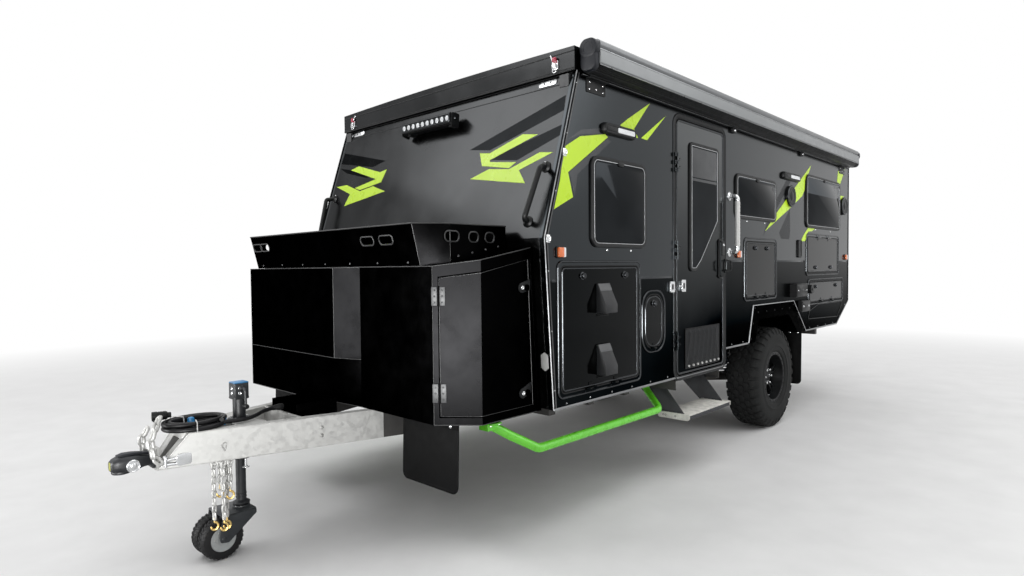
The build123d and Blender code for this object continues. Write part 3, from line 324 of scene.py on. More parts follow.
# ---- finishes ------------------------------------------------------------------------------------
class Finish:
    """A procedural material: nodes in front of one Principled shader."""

    def __init__(self, name):
        self.material = bpy.data.materials.new(name)
        self.material.use_nodes = True
        self.nodes = self.material.node_tree.nodes
        self.links = self.material.node_tree.links
        self.shader = self.nodes["Principled BSDF"]
        self.place = self.nodes.new("ShaderNodeTexCoord").outputs["Object"]

    def put(self, target, value):
        """Links a socket to an input, or writes a plain value into it."""
        if isinstance(value, bpy.types.NodeSocket):
            self.links.new(value, target)
        else:
            target.default_value = value

    def set(self, **inputs):
        """Fills inputs of the shader; an underscore stands for a space."""
        for name, value in inputs.items():
            self.put(self.shader.inputs[name.replace("_", " ")], value)

    def add(self, kind, options=None, **inputs):
        node = self.nodes.new("ShaderNode" + kind)
        for key, value in (options or {}).items():
            setattr(node, key, value)
        for key, value in inputs.items():
            self.put(node.inputs[key.replace("_", " ")], value)
        return node

    def noise(self, scale, detail=3.0, place=None, roughness=0.55):
        return self.add("TexNoise", Vector=place or self.place, Scale=scale, Detail=detail,
                Roughness=roughness).outputs["Fac"]

    def mix(self, share, a, b):
        node = self.add("Mix", {"data_type": "RGBA"})
        self.put(node.inputs[0], share)
        self.put(node.inputs[6], a)
        self.put(node.inputs[7], b)
        return node.outputs[2]

    def math(self, operation, a, b=0.0):
        node = self.add("Math", {"operation": operation})
        self.put(node.inputs[0], a)
        self.put(node.inputs[1], b)
        return node.outputs[0]

    def spread(self, value, low, high, to_low=0.0, to_high=1.0):
        """A value's range stretched over another range."""
        return self.add("MapRange", Value=value, From_Min=low, From_Max=high, To_Min=to_low,
                To_Max=to_high).outputs["Result"]

    def axis(self, name):
        return self.add("SeparateXYZ", Vector=self.place).outputs[name]

    def stretched(self, x, y, z):
        return self.add("Mapping", Vector=self.place, Scale=(x, y, z)).outputs["Vector"]

    def edge(self, radius):
        return self.add("Bevel", {"samples": 4}, Radius=radius).outputs["Normal"]

    def bump(self, height, depth, normal=None):
        node = self.add("Bump", Height=height, Distance=depth)
        if normal:
            self.put(node.inputs["Normal"], normal)
        return node.outputs["Normal"]


def shade(colour, factor):
    """A colour made lighter or darker."""
    return tuple(min(1.0, c * factor) for c in colour[:3]) + (1.0,)


def coat(name, colour, roughness, metal=0.0, specular=0.5, clear=0.0, cloud=(2.2, 0.18),
        speck=(320.0, 0.00003), change=0.07, edge=0.0015, dust=0.0, rim=1.0):
    """Paint, plastic or bare metal with cloudy colour, uneven gloss, fine grain and rounded edges."""
    f = Finish(name)
    clouds = f.noise(cloud[0], 5.0)
    grain = f.noise(speck[0], 2.0)
    tone = f.mix(f.spread(clouds, 0.3, 0.7), shade(colour, 1 - cloud[1]), shade(colour, 1 + cloud[1]))
    tone = f.mix(f.spread(grain, 0.35, 0.65, 0.0, 0.12), tone, shade(colour, 1.5))
    if dust:
        height = f.spread(f.axis("Z"), 0.2, 1.3, 1.0, 0.0)
        film = f.math("MULTIPLY", f.math("MULTIPLY", height, f.noise(9.0, 6.0)), dust)
        tone = f.mix(film, tone, (0.30, 0.27, 0.23, 1))
    smear = f.noise(cloud[0] * 4, 6.0)
    f.set(Base_Color=tone, Metallic=metal, Specular_IOR_Level=specular,
          Specular_Tint=(rim, rim, rim, 1), Coat_Weight=clear, Coat_Roughness=0.03,
          Roughness=f.spread(smear, 0.3, 0.7, max(0.02, roughness - change),
          min(1.0, roughness + change)), Normal=f.bump(grain, speck[1], f.edge(edge)))
    return f.material


def galvanised(name, colour, roughness):
    """Hot-dip zinc: spangles of slightly different grey."""
    f = Finish(name)
    cells = f.add("TexVoronoi", Vector=f.place, Scale=55.0, Randomness=1.0)
    flake = f.add("SeparateColor", Color=cells.outputs["Color"]).outputs[0]
    streaks = f.noise(1.0, 5.0, f.stretched(3, 3, 18))
    tone = f.mix(flake, shade(colour, 0.93), shade(colour, 1.05))
    tone = f.mix(f.spread(streaks, 0.42, 0.75, 0.0, 0.22), tone, shade(colour, 1.15))
    tone = f.mix(f.spread(f.noise(14.0, 7.0), 0.58, 0.75, 0.0, 0.18), tone, shade(colour, 0.62))
    f.set(Base_Color=tone, Metallic=0.35, Roughness=f.spread(flake, 0, 1, roughness - 0.08,
          roughness + 0.12), Normal=f.bump(f.noise(120.0, 4.0), 0.00012, f.edge(0.0025)))
    return f.material


def rubber(name, colour, roughness, depth=0.0003):
    """Moulded rubber with a dry bloom and a fine pebble."""
    f = Finish(name)
    bloom = f.noise(6.0, 6.0)
    pebble = f.noise(420.0, 3.0)
    tone = f.mix(f.spread(bloom, 0.35, 0.75), colour, shade(colour, 1.9))
    tone = f.mix(f.spread(f.noise(60.0, 4.0), 0.55, 0.8, 0.0, 0.25), tone, (0.05, 0.047, 0.045, 1))
    f.set(Base_Color=tone, Roughness=f.spread(pebble, 0.3, 0.7, roughness - 0.12, roughness + 0.1),
          Specular_IOR_Level=0.16, Normal=f.bump(pebble, depth, f.edge(0.0015)))
    return f.material


def cloth(name, colour, threads, roughness=0.9):
    """Coated canvas: crossed threads at their real size."""
    f = Finish(name)
    warp, weft, other = (f.add("TexWave", {"bands_direction": way}, Vector=f.place, Scale=threads,
                               Distortion=0.4).outputs["Fac"] for way in "XZY")
    weave = f.math("ADD", f.math("MULTIPLY", warp, other), weft)
    tone = f.mix(f.spread(f.noise(3.0, 5.0), 0.3, 0.7), shade(colour, 0.78), shade(colour, 1.2))
    tone = f.mix(f.spread(weave, 0.2, 1.6, 0.0, 0.45), tone, shade(colour, 1.6))
    f.set(Base_Color=tone, Roughness=roughness, Sheen_Weight=0.12, Sheen_Roughness=0.5,
          Specular_IOR_Level=0.2, Normal=f.bump(weave, 0.0004))
    return f.material


def clad_wall(name, upper, lower):
    """Gloss composite wall: lower sheets darker than the upper, below the joint strips; painted shade
    dims their gloss towards the foot.
    """
    f = Finish(name)
    height = f.axis("Z")
    along = f.axis("Y")
    behind_door = f.math("GREATER_THAN", along, origin.y - 1.40)
    joint = f.math("ADD", f.math("MULTIPLY", behind_door, 0.102), 1.300)
    below = f.math("LESS_THAN", height, joint)
    ripple = f.noise(1.0, 3.0, f.stretched(1.2, 1.2, 0.7))
    tone = f.mix(below, upper, lower)
    tone = f.mix(f.spread(f.noise(1.4, 5.0), 0.3, 0.7, 0.0, 0.12), tone, shade(upper, 1.25))
    peel = f.math("ADD", f.noise(260.0, 2.0), f.math("MULTIPLY", ripple, 24.0))
    rough = f.mix(below, (0.17, 0.17, 0.17, 1), (0.24, 0.24, 0.24, 1))
    # The grazing tint of the lower sheets darkens towards the foot: painted shade in the reflection.
    deep = f.mix(f.spread(height, 0.75, 1.40), (0.36, 0.36, 0.36, 1), (0.66, 0.66, 0.66, 1))
    grazing_tint_painted_shade = f.mix(below, (1, 1, 1, 1), deep)
    f.set(Base_Color=tone, Metallic=1.0, Roughness=rough, Specular_Tint=grazing_tint_painted_shade,
          Normal=f.bump(peel, 0.00003, f.edge(0.0015)))
    return f.material


def gloss_with_painted_reflection(name, upper, lower, low, high):
    """Gloss paint that deepens from one height to another: the lighter top and its brighter grazing
    tint are a painted reflection.
    """
    f = Finish(name)
    share = f.spread(f.math("ADD", f.axis("Z"), f.math("MULTIPLY", f.noise(0.9, 3.0), 0.25)),
            low + 0.12, high + 0.12)
    tone = f.mix(share, lower, upper)
    tone = f.mix(f.spread(f.noise(1.6, 5.0), 0.3, 0.7, 0.0, 0.12), tone, shade(upper, 1.2))
    f.set(Base_Color=tone, Metallic=1.0, Roughness=f.spread(f.noise(5.0, 6.0), 0.3, 0.7, 0.11, 0.20),
          Specular_Tint=f.mix(share, (0.42, 0.42, 0.42, 1), (1, 1, 1, 1)),
          Normal=f.bump(f.noise(260.0, 2.0), 0.00002, f.edge(0.0015)))
    return f.material


def solar(name):
    """Dark cells in a fine pale grid under glass."""
    f = Finish(name)
    grid = f.add("TexBrick", {"offset": 0.0}, Vector=f.place, Color1=(0.006, 0.010, 0.030, 1),
            Color2=(0.009, 0.014, 0.042, 1), Mortar=(0.24, 0.26, 0.28, 1), Scale=1.0,
            Mortar_Size=0.0016, Brick_Width=0.156, Row_Height=0.156, Mortar_Smooth=0.1)
    wires = f.add("TexWave", {"bands_direction": "Y"}, Vector=f.place, Scale=60.0).outputs["Fac"]
    tone = f.mix(f.spread(wires, 0.93, 1.0, 0.0, 0.22), grid.outputs["Color"], (0.3, 0.3, 0.32, 1))
    f.set(Base_Color=tone, Roughness=f.spread(f.noise(5.0), 0.3, 0.7, 0.06, 0.16), Coat_Weight=0.8,
          Coat_Roughness=0.02)
    return f.material


reflection_band_foot = 2.02     # painted reflection: the windows past the door are lighter above this height


def glass_pane(name, colour, roughness=0.05):
    """Tinted acrylic, nearly black, with faint waves and swirl marks in its gloss; painted reflection
    lightens the top of the windows past the door.
    """
    f = Finish(name)
    waves = f.noise(2.4, 2.0)
    marks = f.noise(1.0, 6.0, f.stretched(8, 30, 8))
    tone = f.mix(f.spread(waves, 0.3, 0.7), shade(colour, 0.75), shade(colour, 1.3))
    # Lighter band at the top of the windows past the door: painted reflection.
    drawn = f.math("MULTIPLY", f.math("GREATER_THAN", f.axis("Z"), reflection_band_foot),
            f.math("GREATER_THAN", f.axis("Y"), origin.y - 1.0))
    tone = f.mix(drawn, tone, shade(colour, 4.5))
    f.set(Base_Color=tone, Roughness=f.spread(marks, 0.35, 0.75, roughness, roughness + 0.06),
          Metallic=1.0, Specular_Tint=(0.6, 0.6, 0.6, 1), Normal=f.bump(waves, 0.0006, f.edge(0.002)))
    return f.material


def lens(name, colour, glow=0.0):
    """Ribbed lamp plastic."""
    f = Finish(name)
    ribs = f.add("TexWave", {"bands_direction": "DIAGONAL"}, Vector=f.place, Scale=70.0).outputs["Fac"]
    tone = f.mix(f.spread(ribs, 0.2, 0.8), shade(colour, 0.72), shade(colour, 1.15))
    f.set(Base_Color=tone, Roughness=0.16, Transmission_Weight=0.12, Coat_Weight=0.6,
          Coat_Roughness=0.03, Emission_Color=colour, Emission_Strength=glow,
          Normal=f.bump(ribs, 0.0004))
    return f.material


wall_grey = (0.034, 0.038, 0.041, 1)
wall_finish = clad_wall("gloss_wall_panels", wall_grey, (0.0055, 0.0068, 0.0075, 1))
front_finish = coat("front_wall_gloss", (0.038, 0.039, 0.040, 1), 0.22, metal=1.0, rim=0.5,
        cloud=(1.1, 0.22), speck=(260.0, 0.00002))
# The door's lighter top is a painted reflection.
door_painted_reflection_finish = gloss_with_painted_reflection("door_gloss_painted_reflection", (0.085, 0.090, 0.092, 1), (0.0045, 0.0052, 0.0060, 1), 0.95, 2.20)
hatch_finish = coat("hatch_gloss", (0.0035, 0.0042, 0.0046, 1), 0.09, metal=1.0, rim=0.9,
        cloud=(2.0, 0.2))
box_finish = coat("black_powder_coat", (0.0022, 0.0022, 0.0023, 1), 0.24, metal=1.0, rim=0.15,
        cloud=(2.5, 0.3), speck=(420.0, 0.00006))
zinc = galvanised("galvanised_steel", (0.50, 0.50, 0.485, 1), 0.5)
bright_metal = coat("bright_metal", (0.62, 0.63, 0.64, 1), 0.22, metal=0.9, cloud=(9.0, 0.12),
        speck=(500.0, 0.00002))
alloy = coat("satin_alloy", (0.46, 0.47, 0.48, 1), 0.33, metal=0.75, cloud=(6.0, 0.1),
        speck=(700.0, 0.00003))
pale_alloy = coat("pale_alloy_band", (0.22, 0.23, 0.235, 1), 0.38, metal=0.3, cloud=(4.0, 0.06),
        speck=(700.0, 0.00002))
roll_alloy = coat("anodised_awning_roll", (0.16, 0.165, 0.17, 1), 0.36, metal=0.8, cloud=(2.0, 0.08),
        speck=(700.0, 0.00002))
cap_finish = coat("end_cap_plastic", (0.014, 0.016, 0.021, 1), 0.50, specular=0.2, cloud=(9.0, 0.1),
        speck=(520.0, 0.0001))
satin_edge = coat("worn_black_edge", (0.055, 0.056, 0.058, 1), 0.35, metal=0.3, cloud=(14.0, 0.3))
# Lighter than the black box, for lines on its edges, seams and lips: painted highlight.
edge_highlight_coat = coat("black_edge_painted_highlight", (0.022, 0.0225, 0.023, 1), 0.40, metal=0.3, cloud=(14.0, 0.3))
trim_alloy = coat("weathered_trim_alloy", (0.24, 0.245, 0.25, 1), 0.34, metal=0.9, cloud=(7.0, 0.2),
        speck=(500.0, 0.00003))
black_chrome = coat("black_chrome", (0.040, 0.042, 0.045, 1), 0.10, metal=1.0, cloud=(12.0, 0.15))
graphite_vinyl = coat("graphite_vinyl", (0.062, 0.064, 0.067, 1), 0.24, metal=1.0, rim=0.62,
        cloud=(3.0, 0.12), speck=(600.0, 0.00001))
red_lever = coat("red_lever", (0.48, 0.03, 0.07, 1), 0.35, cloud=(12.0, 0.1))
cast_black = coat("cast_coupling", (0.022, 0.024, 0.028, 1), 0.45, specular=0.3, cloud=(16.0, 0.3),
        speck=(240.0, 0.0003))
head_grey = coat("gear_head_grey", (0.030, 0.034, 0.038, 1), 0.42, specular=0.3, cloud=(12.0, 0.15),
        speck=(420.0, 0.0001))
hub_grey = coat("pale_hub_plastic", (0.40, 0.42, 0.42, 1), 0.45, cloud=(20.0, 0.12),
        speck=(520.0, 0.0001))
yellow_plastic = coat("yellow_plastic", (0.60, 0.60, 0.04, 1), 0.4, cloud=(20.0, 0.1))
spring_blue = coat("spring_paint", (0.012, 0.030, 0.075, 1), 0.35, cloud=(12.0, 0.2), dust=0.2)
flap_rubber = coat("mudflap_rubber", (0.0020, 0.0021, 0.0022, 1), 0.62, specular=0.06, cloud=(6.0, 0.3),
        speck=(420.0, 0.0002))
arch_finish = coat("arch_gloss", (0.0055, 0.0060, 0.0065, 1), 0.28, metal=1.0, rim=0.4,
        cloud=(4.0, 0.15))
dark_alloy = coat("dark_alloy_rim", (0.050, 0.053, 0.056, 1), 0.22, metal=1.0, rim=0.8,
        cloud=(6.0, 0.10))
chassis_finish = coat("chassis_black", (0.012, 0.012, 0.013, 1), 0.5, specular=0.35, dust=0.25,
        cloud=(7.0, 0.3), speck=(260.0, 0.00015))
tyre_finish = rubber("tyre_rubber", (0.0080, 0.0085, 0.0085, 1), 0.72)
soft_rubber = rubber("black_rubber", (0.0075, 0.0075, 0.0080, 1), 0.6, 0.0001)
lead_finish = rubber("lead_sheath", (0.008, 0.008, 0.009, 1), 0.42, 0.00005)
black_plastic = coat("black_plastic", (0.0085, 0.0092, 0.010, 1), 0.42, specular=0.18, cloud=(8.0, 0.2),
        speck=(520.0, 0.00012))
hood_grey = coat("hood_grey_plastic", (0.022, 0.023, 0.025, 1), 0.42, specular=0.25, cloud=(7.0, 0.12),
        speck=(520.0, 0.0001))
grey_plastic = coat("grey_plastic", (0.075, 0.078, 0.082, 1), 0.45, cloud=(7.0, 0.12),
        speck=(520.0, 0.0001))
white_plastic = coat("white_plastic", (0.74, 0.74, 0.72, 1), 0.38, cloud=(7.0, 0.05),
        speck=(520.0, 0.00005))
off_white = coat("gritty_step_coating", (0.70, 0.69, 0.64, 1), 0.8, cloud=(24.0, 0.22),
        speck=(170.0, 0.0007))
green_coat = coat("green_powder_coat", (0.15, 0.70, 0.030, 1), 0.28, specular=0.5, clear=0.3,
        cloud=(5.0, 0.07), speck=(420.0, 0.00005))
lime_vinyl = coat("lime_vinyl", (0.578, 0.871, 0.013, 1), 0.30, specular=0.4, cloud=(3.0, 0.04),
        speck=(600.0, 0.00001))
charcoal_vinyl = coat("charcoal_vinyl", (0.0075, 0.0080, 0.0085, 1), 0.24, metal=1.0, rim=0.5,
        cloud=(3.0, 0.15), speck=(600.0, 0.00001))
acrylic = glass_pane("tinted_acrylic", (0.020, 0.022, 0.024, 1))
shade_panel = coat("window_shade", (0.030, 0.032, 0.035, 1), 0.5, cloud=(2.0, 0.1),
        speck=(240.0, 0.0001))
skirt_cloth = cloth("skirt_canvas", (0.022, 0.023, 0.025, 1), 260.0)
pocket_cloth = cloth("pocket_canvas", (0.0090, 0.0100, 0.0115, 1), 300.0)
floor_finish = coat("composite_floor", (0.10, 0.085, 0.065, 1), 0.6, cloud=(3.0, 0.25),
        speck=(90.0, 0.0002))
tank_finish = coat("tank_plastic", (0.36, 0.37, 0.36, 1), 0.5, cloud=(4.0, 0.08), dust=0.2)
solar_finish = solar("solar_cells")
amber_lens = lens("amber_lens", (0.85, 0.17, 0.02, 1), 0.15)
red_lens = lens("red_lens", (0.55, 0.012, 0.010, 1), 0.05)
clear_lens = lens("clear_lens", (0.80, 0.82, 0.84, 1), 0.2)
blue_plastic = coat("blue_plastic", (0.02, 0.22, 0.50, 1), 0.35, cloud=(9.0, 0.1))
brass = coat("brass", (0.60, 0.43, 0.16, 1), 0.35, metal=0.8, cloud=(12.0, 0.15))

# The slot listed for each finish; piece looks it up unless its call names another, but keeps it nowhere
slot_finishes = {
    "alloy": (bright_metal, alloy, pale_alloy, roll_alloy, trim_alloy, black_chrome, arch_finish,
              dark_alloy),
    "black_plastic": (cap_finish, red_lever, black_plastic, hood_grey, blue_plastic),
    "galvanised_steel": (zinc, cast_black, head_grey, brass),
    "rubber": (satin_edge, flap_rubber, soft_rubber),
    "white_plastic": (hub_grey, yellow_plastic, white_plastic),
    "lens": (amber_lens, red_lens, clear_lens),
    "tinted_acrylic": (acrylic, shade_panel),
    "black_coat": (edge_highlight_coat, grey_plastic),
    "canvas": (skirt_cloth, pocket_cloth),
    "chassis_black": (spring_blue, chassis_finish),
    "tyre_rubber": (tyre_finish,),
    "composite": (off_white,),
    "green_coat": (green_coat,),
}
usual_slot = {finish.name: slot for slot, group in slot_finishes.items() for finish in group}

node_finishes = {
    "left_wall": wall_finish, "right_wall": wall_finish, "rear_wall": wall_finish,
                 "front_wall": front_finish,
    "floor": floor_finish, "roof": front_finish, "awning": dark_alloy, "air_conditioner": white_plastic,
    "solar_panels": solar_finish, "windows": acrylic, "entry_door": door_painted_reflection_finish,
                 "entry_door_window": acrylic,
    "wheel_arches": arch_finish, "chassis": chassis_finish, "low_outriggers": chassis_finish,
    "floor_bearers": chassis_finish, "arm_brackets": chassis_finish, "step_housing": chassis_finish,
    "spare_carrier": chassis_finish, "drawbar": zinc, "coupling": chassis_finish, "jockey_post": zinc,
    "jockey_leg": zinc, "jockey_fork": zinc, "jockey_wheels": soft_rubber, "drawbar_box": box_finish,
    "drawbar_plug": black_plastic, "front_box": box_finish, "left_box_door": box_finish,
    "right_box_door": box_finish, "front_tray": box_finish, "side_rails": green_coat,
                 "entry_step": cast_black,
    "mudflaps": soft_rubber, "entry_grab_handle": bright_metal, "front_grab_handles": black_plastic,
    "light_bar": black_plastic, "roof_latches": satin_edge, "lamps": black_plastic,
    "wall_fittings": black_plastic, "water_tanks": tank_finish, "spare_wheel": tyre_finish,
    "left_tyre": tyre_finish, "right_tyre": tyre_finish, "left_rim": black_plastic,
                 "right_rim": black_plastic,
    "suspension_arms": chassis_finish,
}


def finish_nodes():
    """Gives every CAD node its procedural finish."""
    for name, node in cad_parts.items():
        finish = node_finishes.get(name, hatch_finish)
        node.data.materials.clear()
        node.data.materials.append(finish)


# ---- camera, light and floor ---------------------------------------------------------------------
camera_place = Vector((3.1098, -5.4332, 1.3670))
camera_yaw, camera_pitch, camera_roll = radians(43.315), radians(1.7975), radians(-0.576)
camera_lens = 22.395


def camera():
    """The camera of the rest view: ahead of the front corner on the door side, at chest height."""
    yaw, pitch, roll = camera_yaw, camera_pitch, camera_roll
    ahead = Vector((-sin(yaw) * cos(pitch), cos(yaw) * cos(pitch), -sin(pitch)))
    level = Vector((cos(yaw), sin(yaw), 0))
    upright = level.cross(ahead)
    right = level * cos(roll) + upright * sin(roll)
    up = upright * cos(roll) - level * sin(roll)
    data = bpy.data.cameras.new("camera")
    data.sensor_width = 36
    data.lens = camera_lens
    data.clip_end = 200
    made = shown("camera", data)
    made.matrix_world = Matrix.Translation(origin + camera_place) @ Matrix(
        (right, up, -ahead)).transposed().to_4x4()
    bpy.context.scene.camera = made


def softbox(name, place, target, size, power, glint=False):
    """A rectangular light that the camera doesn't see. A glint shows in gloss only."""
    data = bpy.data.lights.new(name, "AREA")
    data.shape = "RECTANGLE"
    data.size, data.size_y = size
    data.energy = power
    made = shown(name, data)
    made.visible_camera = False
    made.visible_diffuse = not glint
    made.location = origin + Vector(place)
    made.rotation_euler = (Vector(target) - Vector(place)).to_track_quat("-Z", "Y").to_euler()


def seen_or_reflected(nodes, links):
    """One for camera, glossy and transmission rays."""
    path = nodes.new("ShaderNodeLightPath")
    total = path.outputs["Is Camera Ray"]
    for name in ("Is Glossy Ray", "Is Transmission Ray"):
        either = nodes.new("ShaderNodeMath")
        either.operation = "MAXIMUM"
        links.new(total, either.inputs[0])
        links.new(path.outputs[name], either.inputs[1])
        total = either.outputs[0]
    return total


def studio():
    """White surroundings, soft lights and a pale floor that fades into them."""
    bpy.context.scene.view_settings.view_transform = "Standard"
    world = bpy.data.worlds.new("studio")
    bpy.context.scene.world = world
    world.use_nodes = True
    nodes, links = world.node_tree.nodes, world.node_tree.links
    strength = nodes.new("ShaderNodeMix")
    links.new(seen_or_reflected(nodes, links), strength.inputs[0])
    strength.inputs[2].default_value = 0.5
    strength.inputs[3].default_value = 1.0
    links.new(strength.outputs[0], nodes["Background"].inputs["Strength"])
    nodes["Background"].inputs["Color"].default_value = (1, 1, 1, 1)
    softbox("overhead", (0.5, -0.5, 6.5), (0, -0.3, 0), (7, 9), 300)
    softbox("front_key", (-3.0, -6.4, 5.6), (0.4, -2.9, 1.9), (4.2, 2.6), 130)
    softbox("corner_card", (3.3, -7.4, 1.15), (0.92, -3.48, 1.15), (1.7, 2.2), 300, glint=True)
    softbox("cover_card", (-1.7, -8.3, 1.15), (0.15, -3.58, 1.15), (1.5, 2.2), 300, glint=True)
    softbox("tray_card", (3.2, -6.5, 0.45), (0.90, -3.52, 1.48), (1.8, 0.9), 150, glint=True)
    softbox("side_fill", (6.5, 1.5, 4.5), (1, 0, 1.2), (5, 4), 110)
    floor = Shape()
    reach = 60
    floor.skin([[Vector((-reach, y, 0)), Vector((reach, y, 0))] for y in (-reach, reach)], wrap=False)
    data = bpy.data.meshes.new("studio_floor")
    floor.mesh.to_mesh(data)
    made = shown("studio_floor", data)
    f = Finish("pale_floor")
    away = f.add("VectorMath", {"operation": "LENGTH"}, Vector=f.place).outputs["Value"]
    tone = f.mix(f.spread(f.noise(3.0, 5.0), 0.3, 0.7), (0.80, 0.80, 0.80, 1), (0.86, 0.86, 0.86, 1))
    f.set(Base_Color=tone, Roughness=0.9, Specular_IOR_Level=0.1)
    white = f.add("Emission", Strength=1.0, Color=(1, 1, 1, 1))
    blend = f.add("MixShader")
    share = f.math("MULTIPLY", f.spread(away, 4.0, 11.0), seen_or_reflected(f.nodes, f.links))
    links = f.links
    links.new(share, blend.inputs[0])
    links.new(f.shader.outputs[0], blend.inputs[1])
    links.new(white.outputs[0], blend.inputs[2])
    links.new(blend.outputs[0], f.nodes["Material Output"].inputs["Surface"])
    data.materials.append(f.material)


# ---- drawbar lead --------------------------------------------------------------------------------
lead_diameter = 0.020
lead_route = [(0.020, -3.892, 0.670), (0.020, -3.970, 0.670), (0.076, -4.056, 0.656),
        (0.092, -4.138, 0.655), (0.080, -4.208, 0.660)]
coil_centre = (0.0, -4.305)
coil_turns = 4
coil_steps = 16


def coil_points():
    """Loose turns on the drawbar: two inwards, then two back out on top of them, none the same size."""
    points = []
    total = coil_turns * coil_steps
    for k in range(total + 1):
        turn = k / coil_steps
        inward = turn if turn <= 2 else 4 - turn
        wide = 0.112 - 0.021 * inward + (0.008 * sin(1.7 * turn) if turn > 2.4 else 0)
        long = 0.142 - 0.021 * inward + (0.010 * sin(2.3 * turn + 1) if turn > 2.4 else 0)
        angle = 0.72 - 2 * pi * turn
        climb = min(1.0, max(0.0, (turn - 1.75) / 0.5))
        height = 0.6515 + 0.021 * climb * climb * (3 - 2 * climb)
        points.append((coil_centre[0] + wide * cos(angle), coil_centre[1] + long * sin(angle), height))
    return points


def drawbar_lead():
    """The lead from its gland on the front box to the coil that lies on the drawbar."""
    points = lead_route + coil_points()
    data = bpy.data.curves.new("drawbar_lead_cord", "CURVE")
    data.dimensions = "3D"
    line = data.splines.new("NURBS")
    line.points.add(len(points) - 1)
    for target, p in zip(line.points, points):
        target.co = (*p, 1)
    line.order_u = 3
    line.use_endpoint_u = True
    data.resolution_u = 8
    data.bevel_depth = lead_diameter / 2
    data.bevel_resolution = 5
    data.use_fill_caps = True
    data.materials.append(lead_finish)
    lead = shown("drawbar_lead_cord", data)
    lead.location = origin
    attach(lead, "caravan")
    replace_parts(lead, "drawbar_lead", "drawbar_lead_coil")
    return lead


# ---- walls and trims -----------------------------------------------------------------------------
def nose_y(z):
    """Outer face of the front wall at a height."""
    (y0, z0), (y1, z1) = nose[:2] if z < nose[1][1] else nose[1:]
    return y0 + (y1 - y0) * (z - z0) / (z1 - z0)


front_up = Vector((0, nose[2][0] - nose[1][0], nose[2][1] - nose[1][1])).normalized()
front_out = Vector((0, -front_up.z, front_up.y))


def on_front(x, z, out=0.0):
    """Point on the raked part of the front wall."""
    return Vector((x, nose_y(z), z)) + front_out * out


def corner_trims():
    """Dark angles with a bright bead up the front and rear corners, their screws and a seal."""
    shape = Shape()
    stand, leg = 0.0035, 0.0125
    angle = [(-stand, wall_x + 0.0005), (-0.0005, wall_x + stand), (leg, wall_x + stand), (leg, wall_x),
            (0, wall_x), (0, wall_x - leg), (-stand, wall_x - leg)]
    shape.moulding(on_x(0, nose[::-1]), X, angle, closed=False)
    rear = [(tail_y, 0.99), (tail_y, body_top)]
    shape.moulding(on_x(0, rear), X, angle, closed=False)
    bead = Shape()
    apex = [(-stand - 0.0010, wall_x + 0.0012), (-0.0010, wall_x + stand + 0.0012),
            (0.0015, wall_x + stand - 0.0004), (-stand + 0.0004, wall_x - 0.0012)]
    bead.moulding(on_x(0, nose[::-1]), X, apex, closed=False)
    bead.moulding(on_x(0, rear), X, apex, closed=False)
    for z in (0.75, 1.05, 1.35, 1.75, 2.05, 2.32):
        bead.screw((wall_x + stand, nose_y(z) + 0.013, z), X, 0.0045)
        bead.screw((wall_x + stand, tail_y - 0.013, max(z, 1.02)), X, 0.0045)
    seal = Shape()
    back = [(leg + 0.0005, wall_x - 0.0005), (leg + 0.0005, wall_x + 0.0028),
            (leg + 0.010, wall_x + 0.0028), (leg + 0.010, wall_x - 0.0005)]
    seal.moulding(on_x(0, nose[::-1]), X, back, closed=False)
    piece("corner_trims", shape.mirrored(), arch_finish)
    piece("corner_beads", bead.mirrored(), trim_alloy)
    piece("corner_seals", seal.mirrored(), satin_edge)


# Joint strips: start and end along the wall, and height
left_joints = ((-2.992, -2.953, 1.300), (-2.176, -1.792, 1.300), (-1.030, -0.723, 1.402),
        (-0.085, 0.615, 1.402), (1.551, 1.861, 1.402))
right_joints = ((-2.992, -2.953, 1.300), (-2.176, -1.390, 1.300), (-1.390, 0.696, 1.402),
        (1.254, 1.861, 1.402))
sill_runs = (((-2.983, skirt_z), (-1.760, skirt_z)), ((-1.030, sill_z), (-0.642, sill_z)),
        ((0.609, sill_z), (1.500, sill_z)), ((1.500, sill_z), (1.883, 0.989)))
under_door = ((-1.760, skirt_z), (-1.030, skirt_z))


def place_between(start, end, t):
    """The point a share t of the way along a run."""
    return start[0] + (end[0] - start[0]) * t, start[1] + (end[1] - start[1]) * t


def strip(shape, side, start, end, low, high, stand):
    """Folded metal strip on a side wall, from start to end in (y, z)."""
    (y0, z0), (y1, z1) = start, end
    outline = [(y0, z0 + low), (y1, z1 + low), (y1, z1 + high), (y0, z0 + high)]
    shape.slab(on_x(side * (wall_x - 0.0005), outline), (side * (stand + 0.0005), 0, 0), 0.0009)


def joint_strips():
    """Dark strips over the joints between the upper and the lower wall sheets."""
    shape = Shape()
    for side, joints in ((1, left_joints), (-1, right_joints)):
        for y0, y1, z in joints:
            strip(shape, side, (y0, z), (y1, z), -0.007, 0.007, 0.0022)
    piece("joint_strips", shape, dark_alloy)


def sill_trims():
    """Pale angle along the lower edge of the side walls, with its screws."""
    shape = Shape()
    for side in (1, -1):
        for start, end in sill_runs:
            strip(shape, side, start, end, -0.005, 0.008, 0.004)
            length = hypot(end[0] - start[0], end[1] - start[1])
            count = max(2, round(length / 0.22))
            for k in range(count):
                y, z = place_between(start, end, (k + 0.5) / count)
                shape.screw((side * wall_x, y, z + 0.020), (side, 0, 0), 0.005)
        strip(shape, side, *under_door, -0.006, 0.004, 0.003)
    piece("sill_trims", shape, trim_alloy)


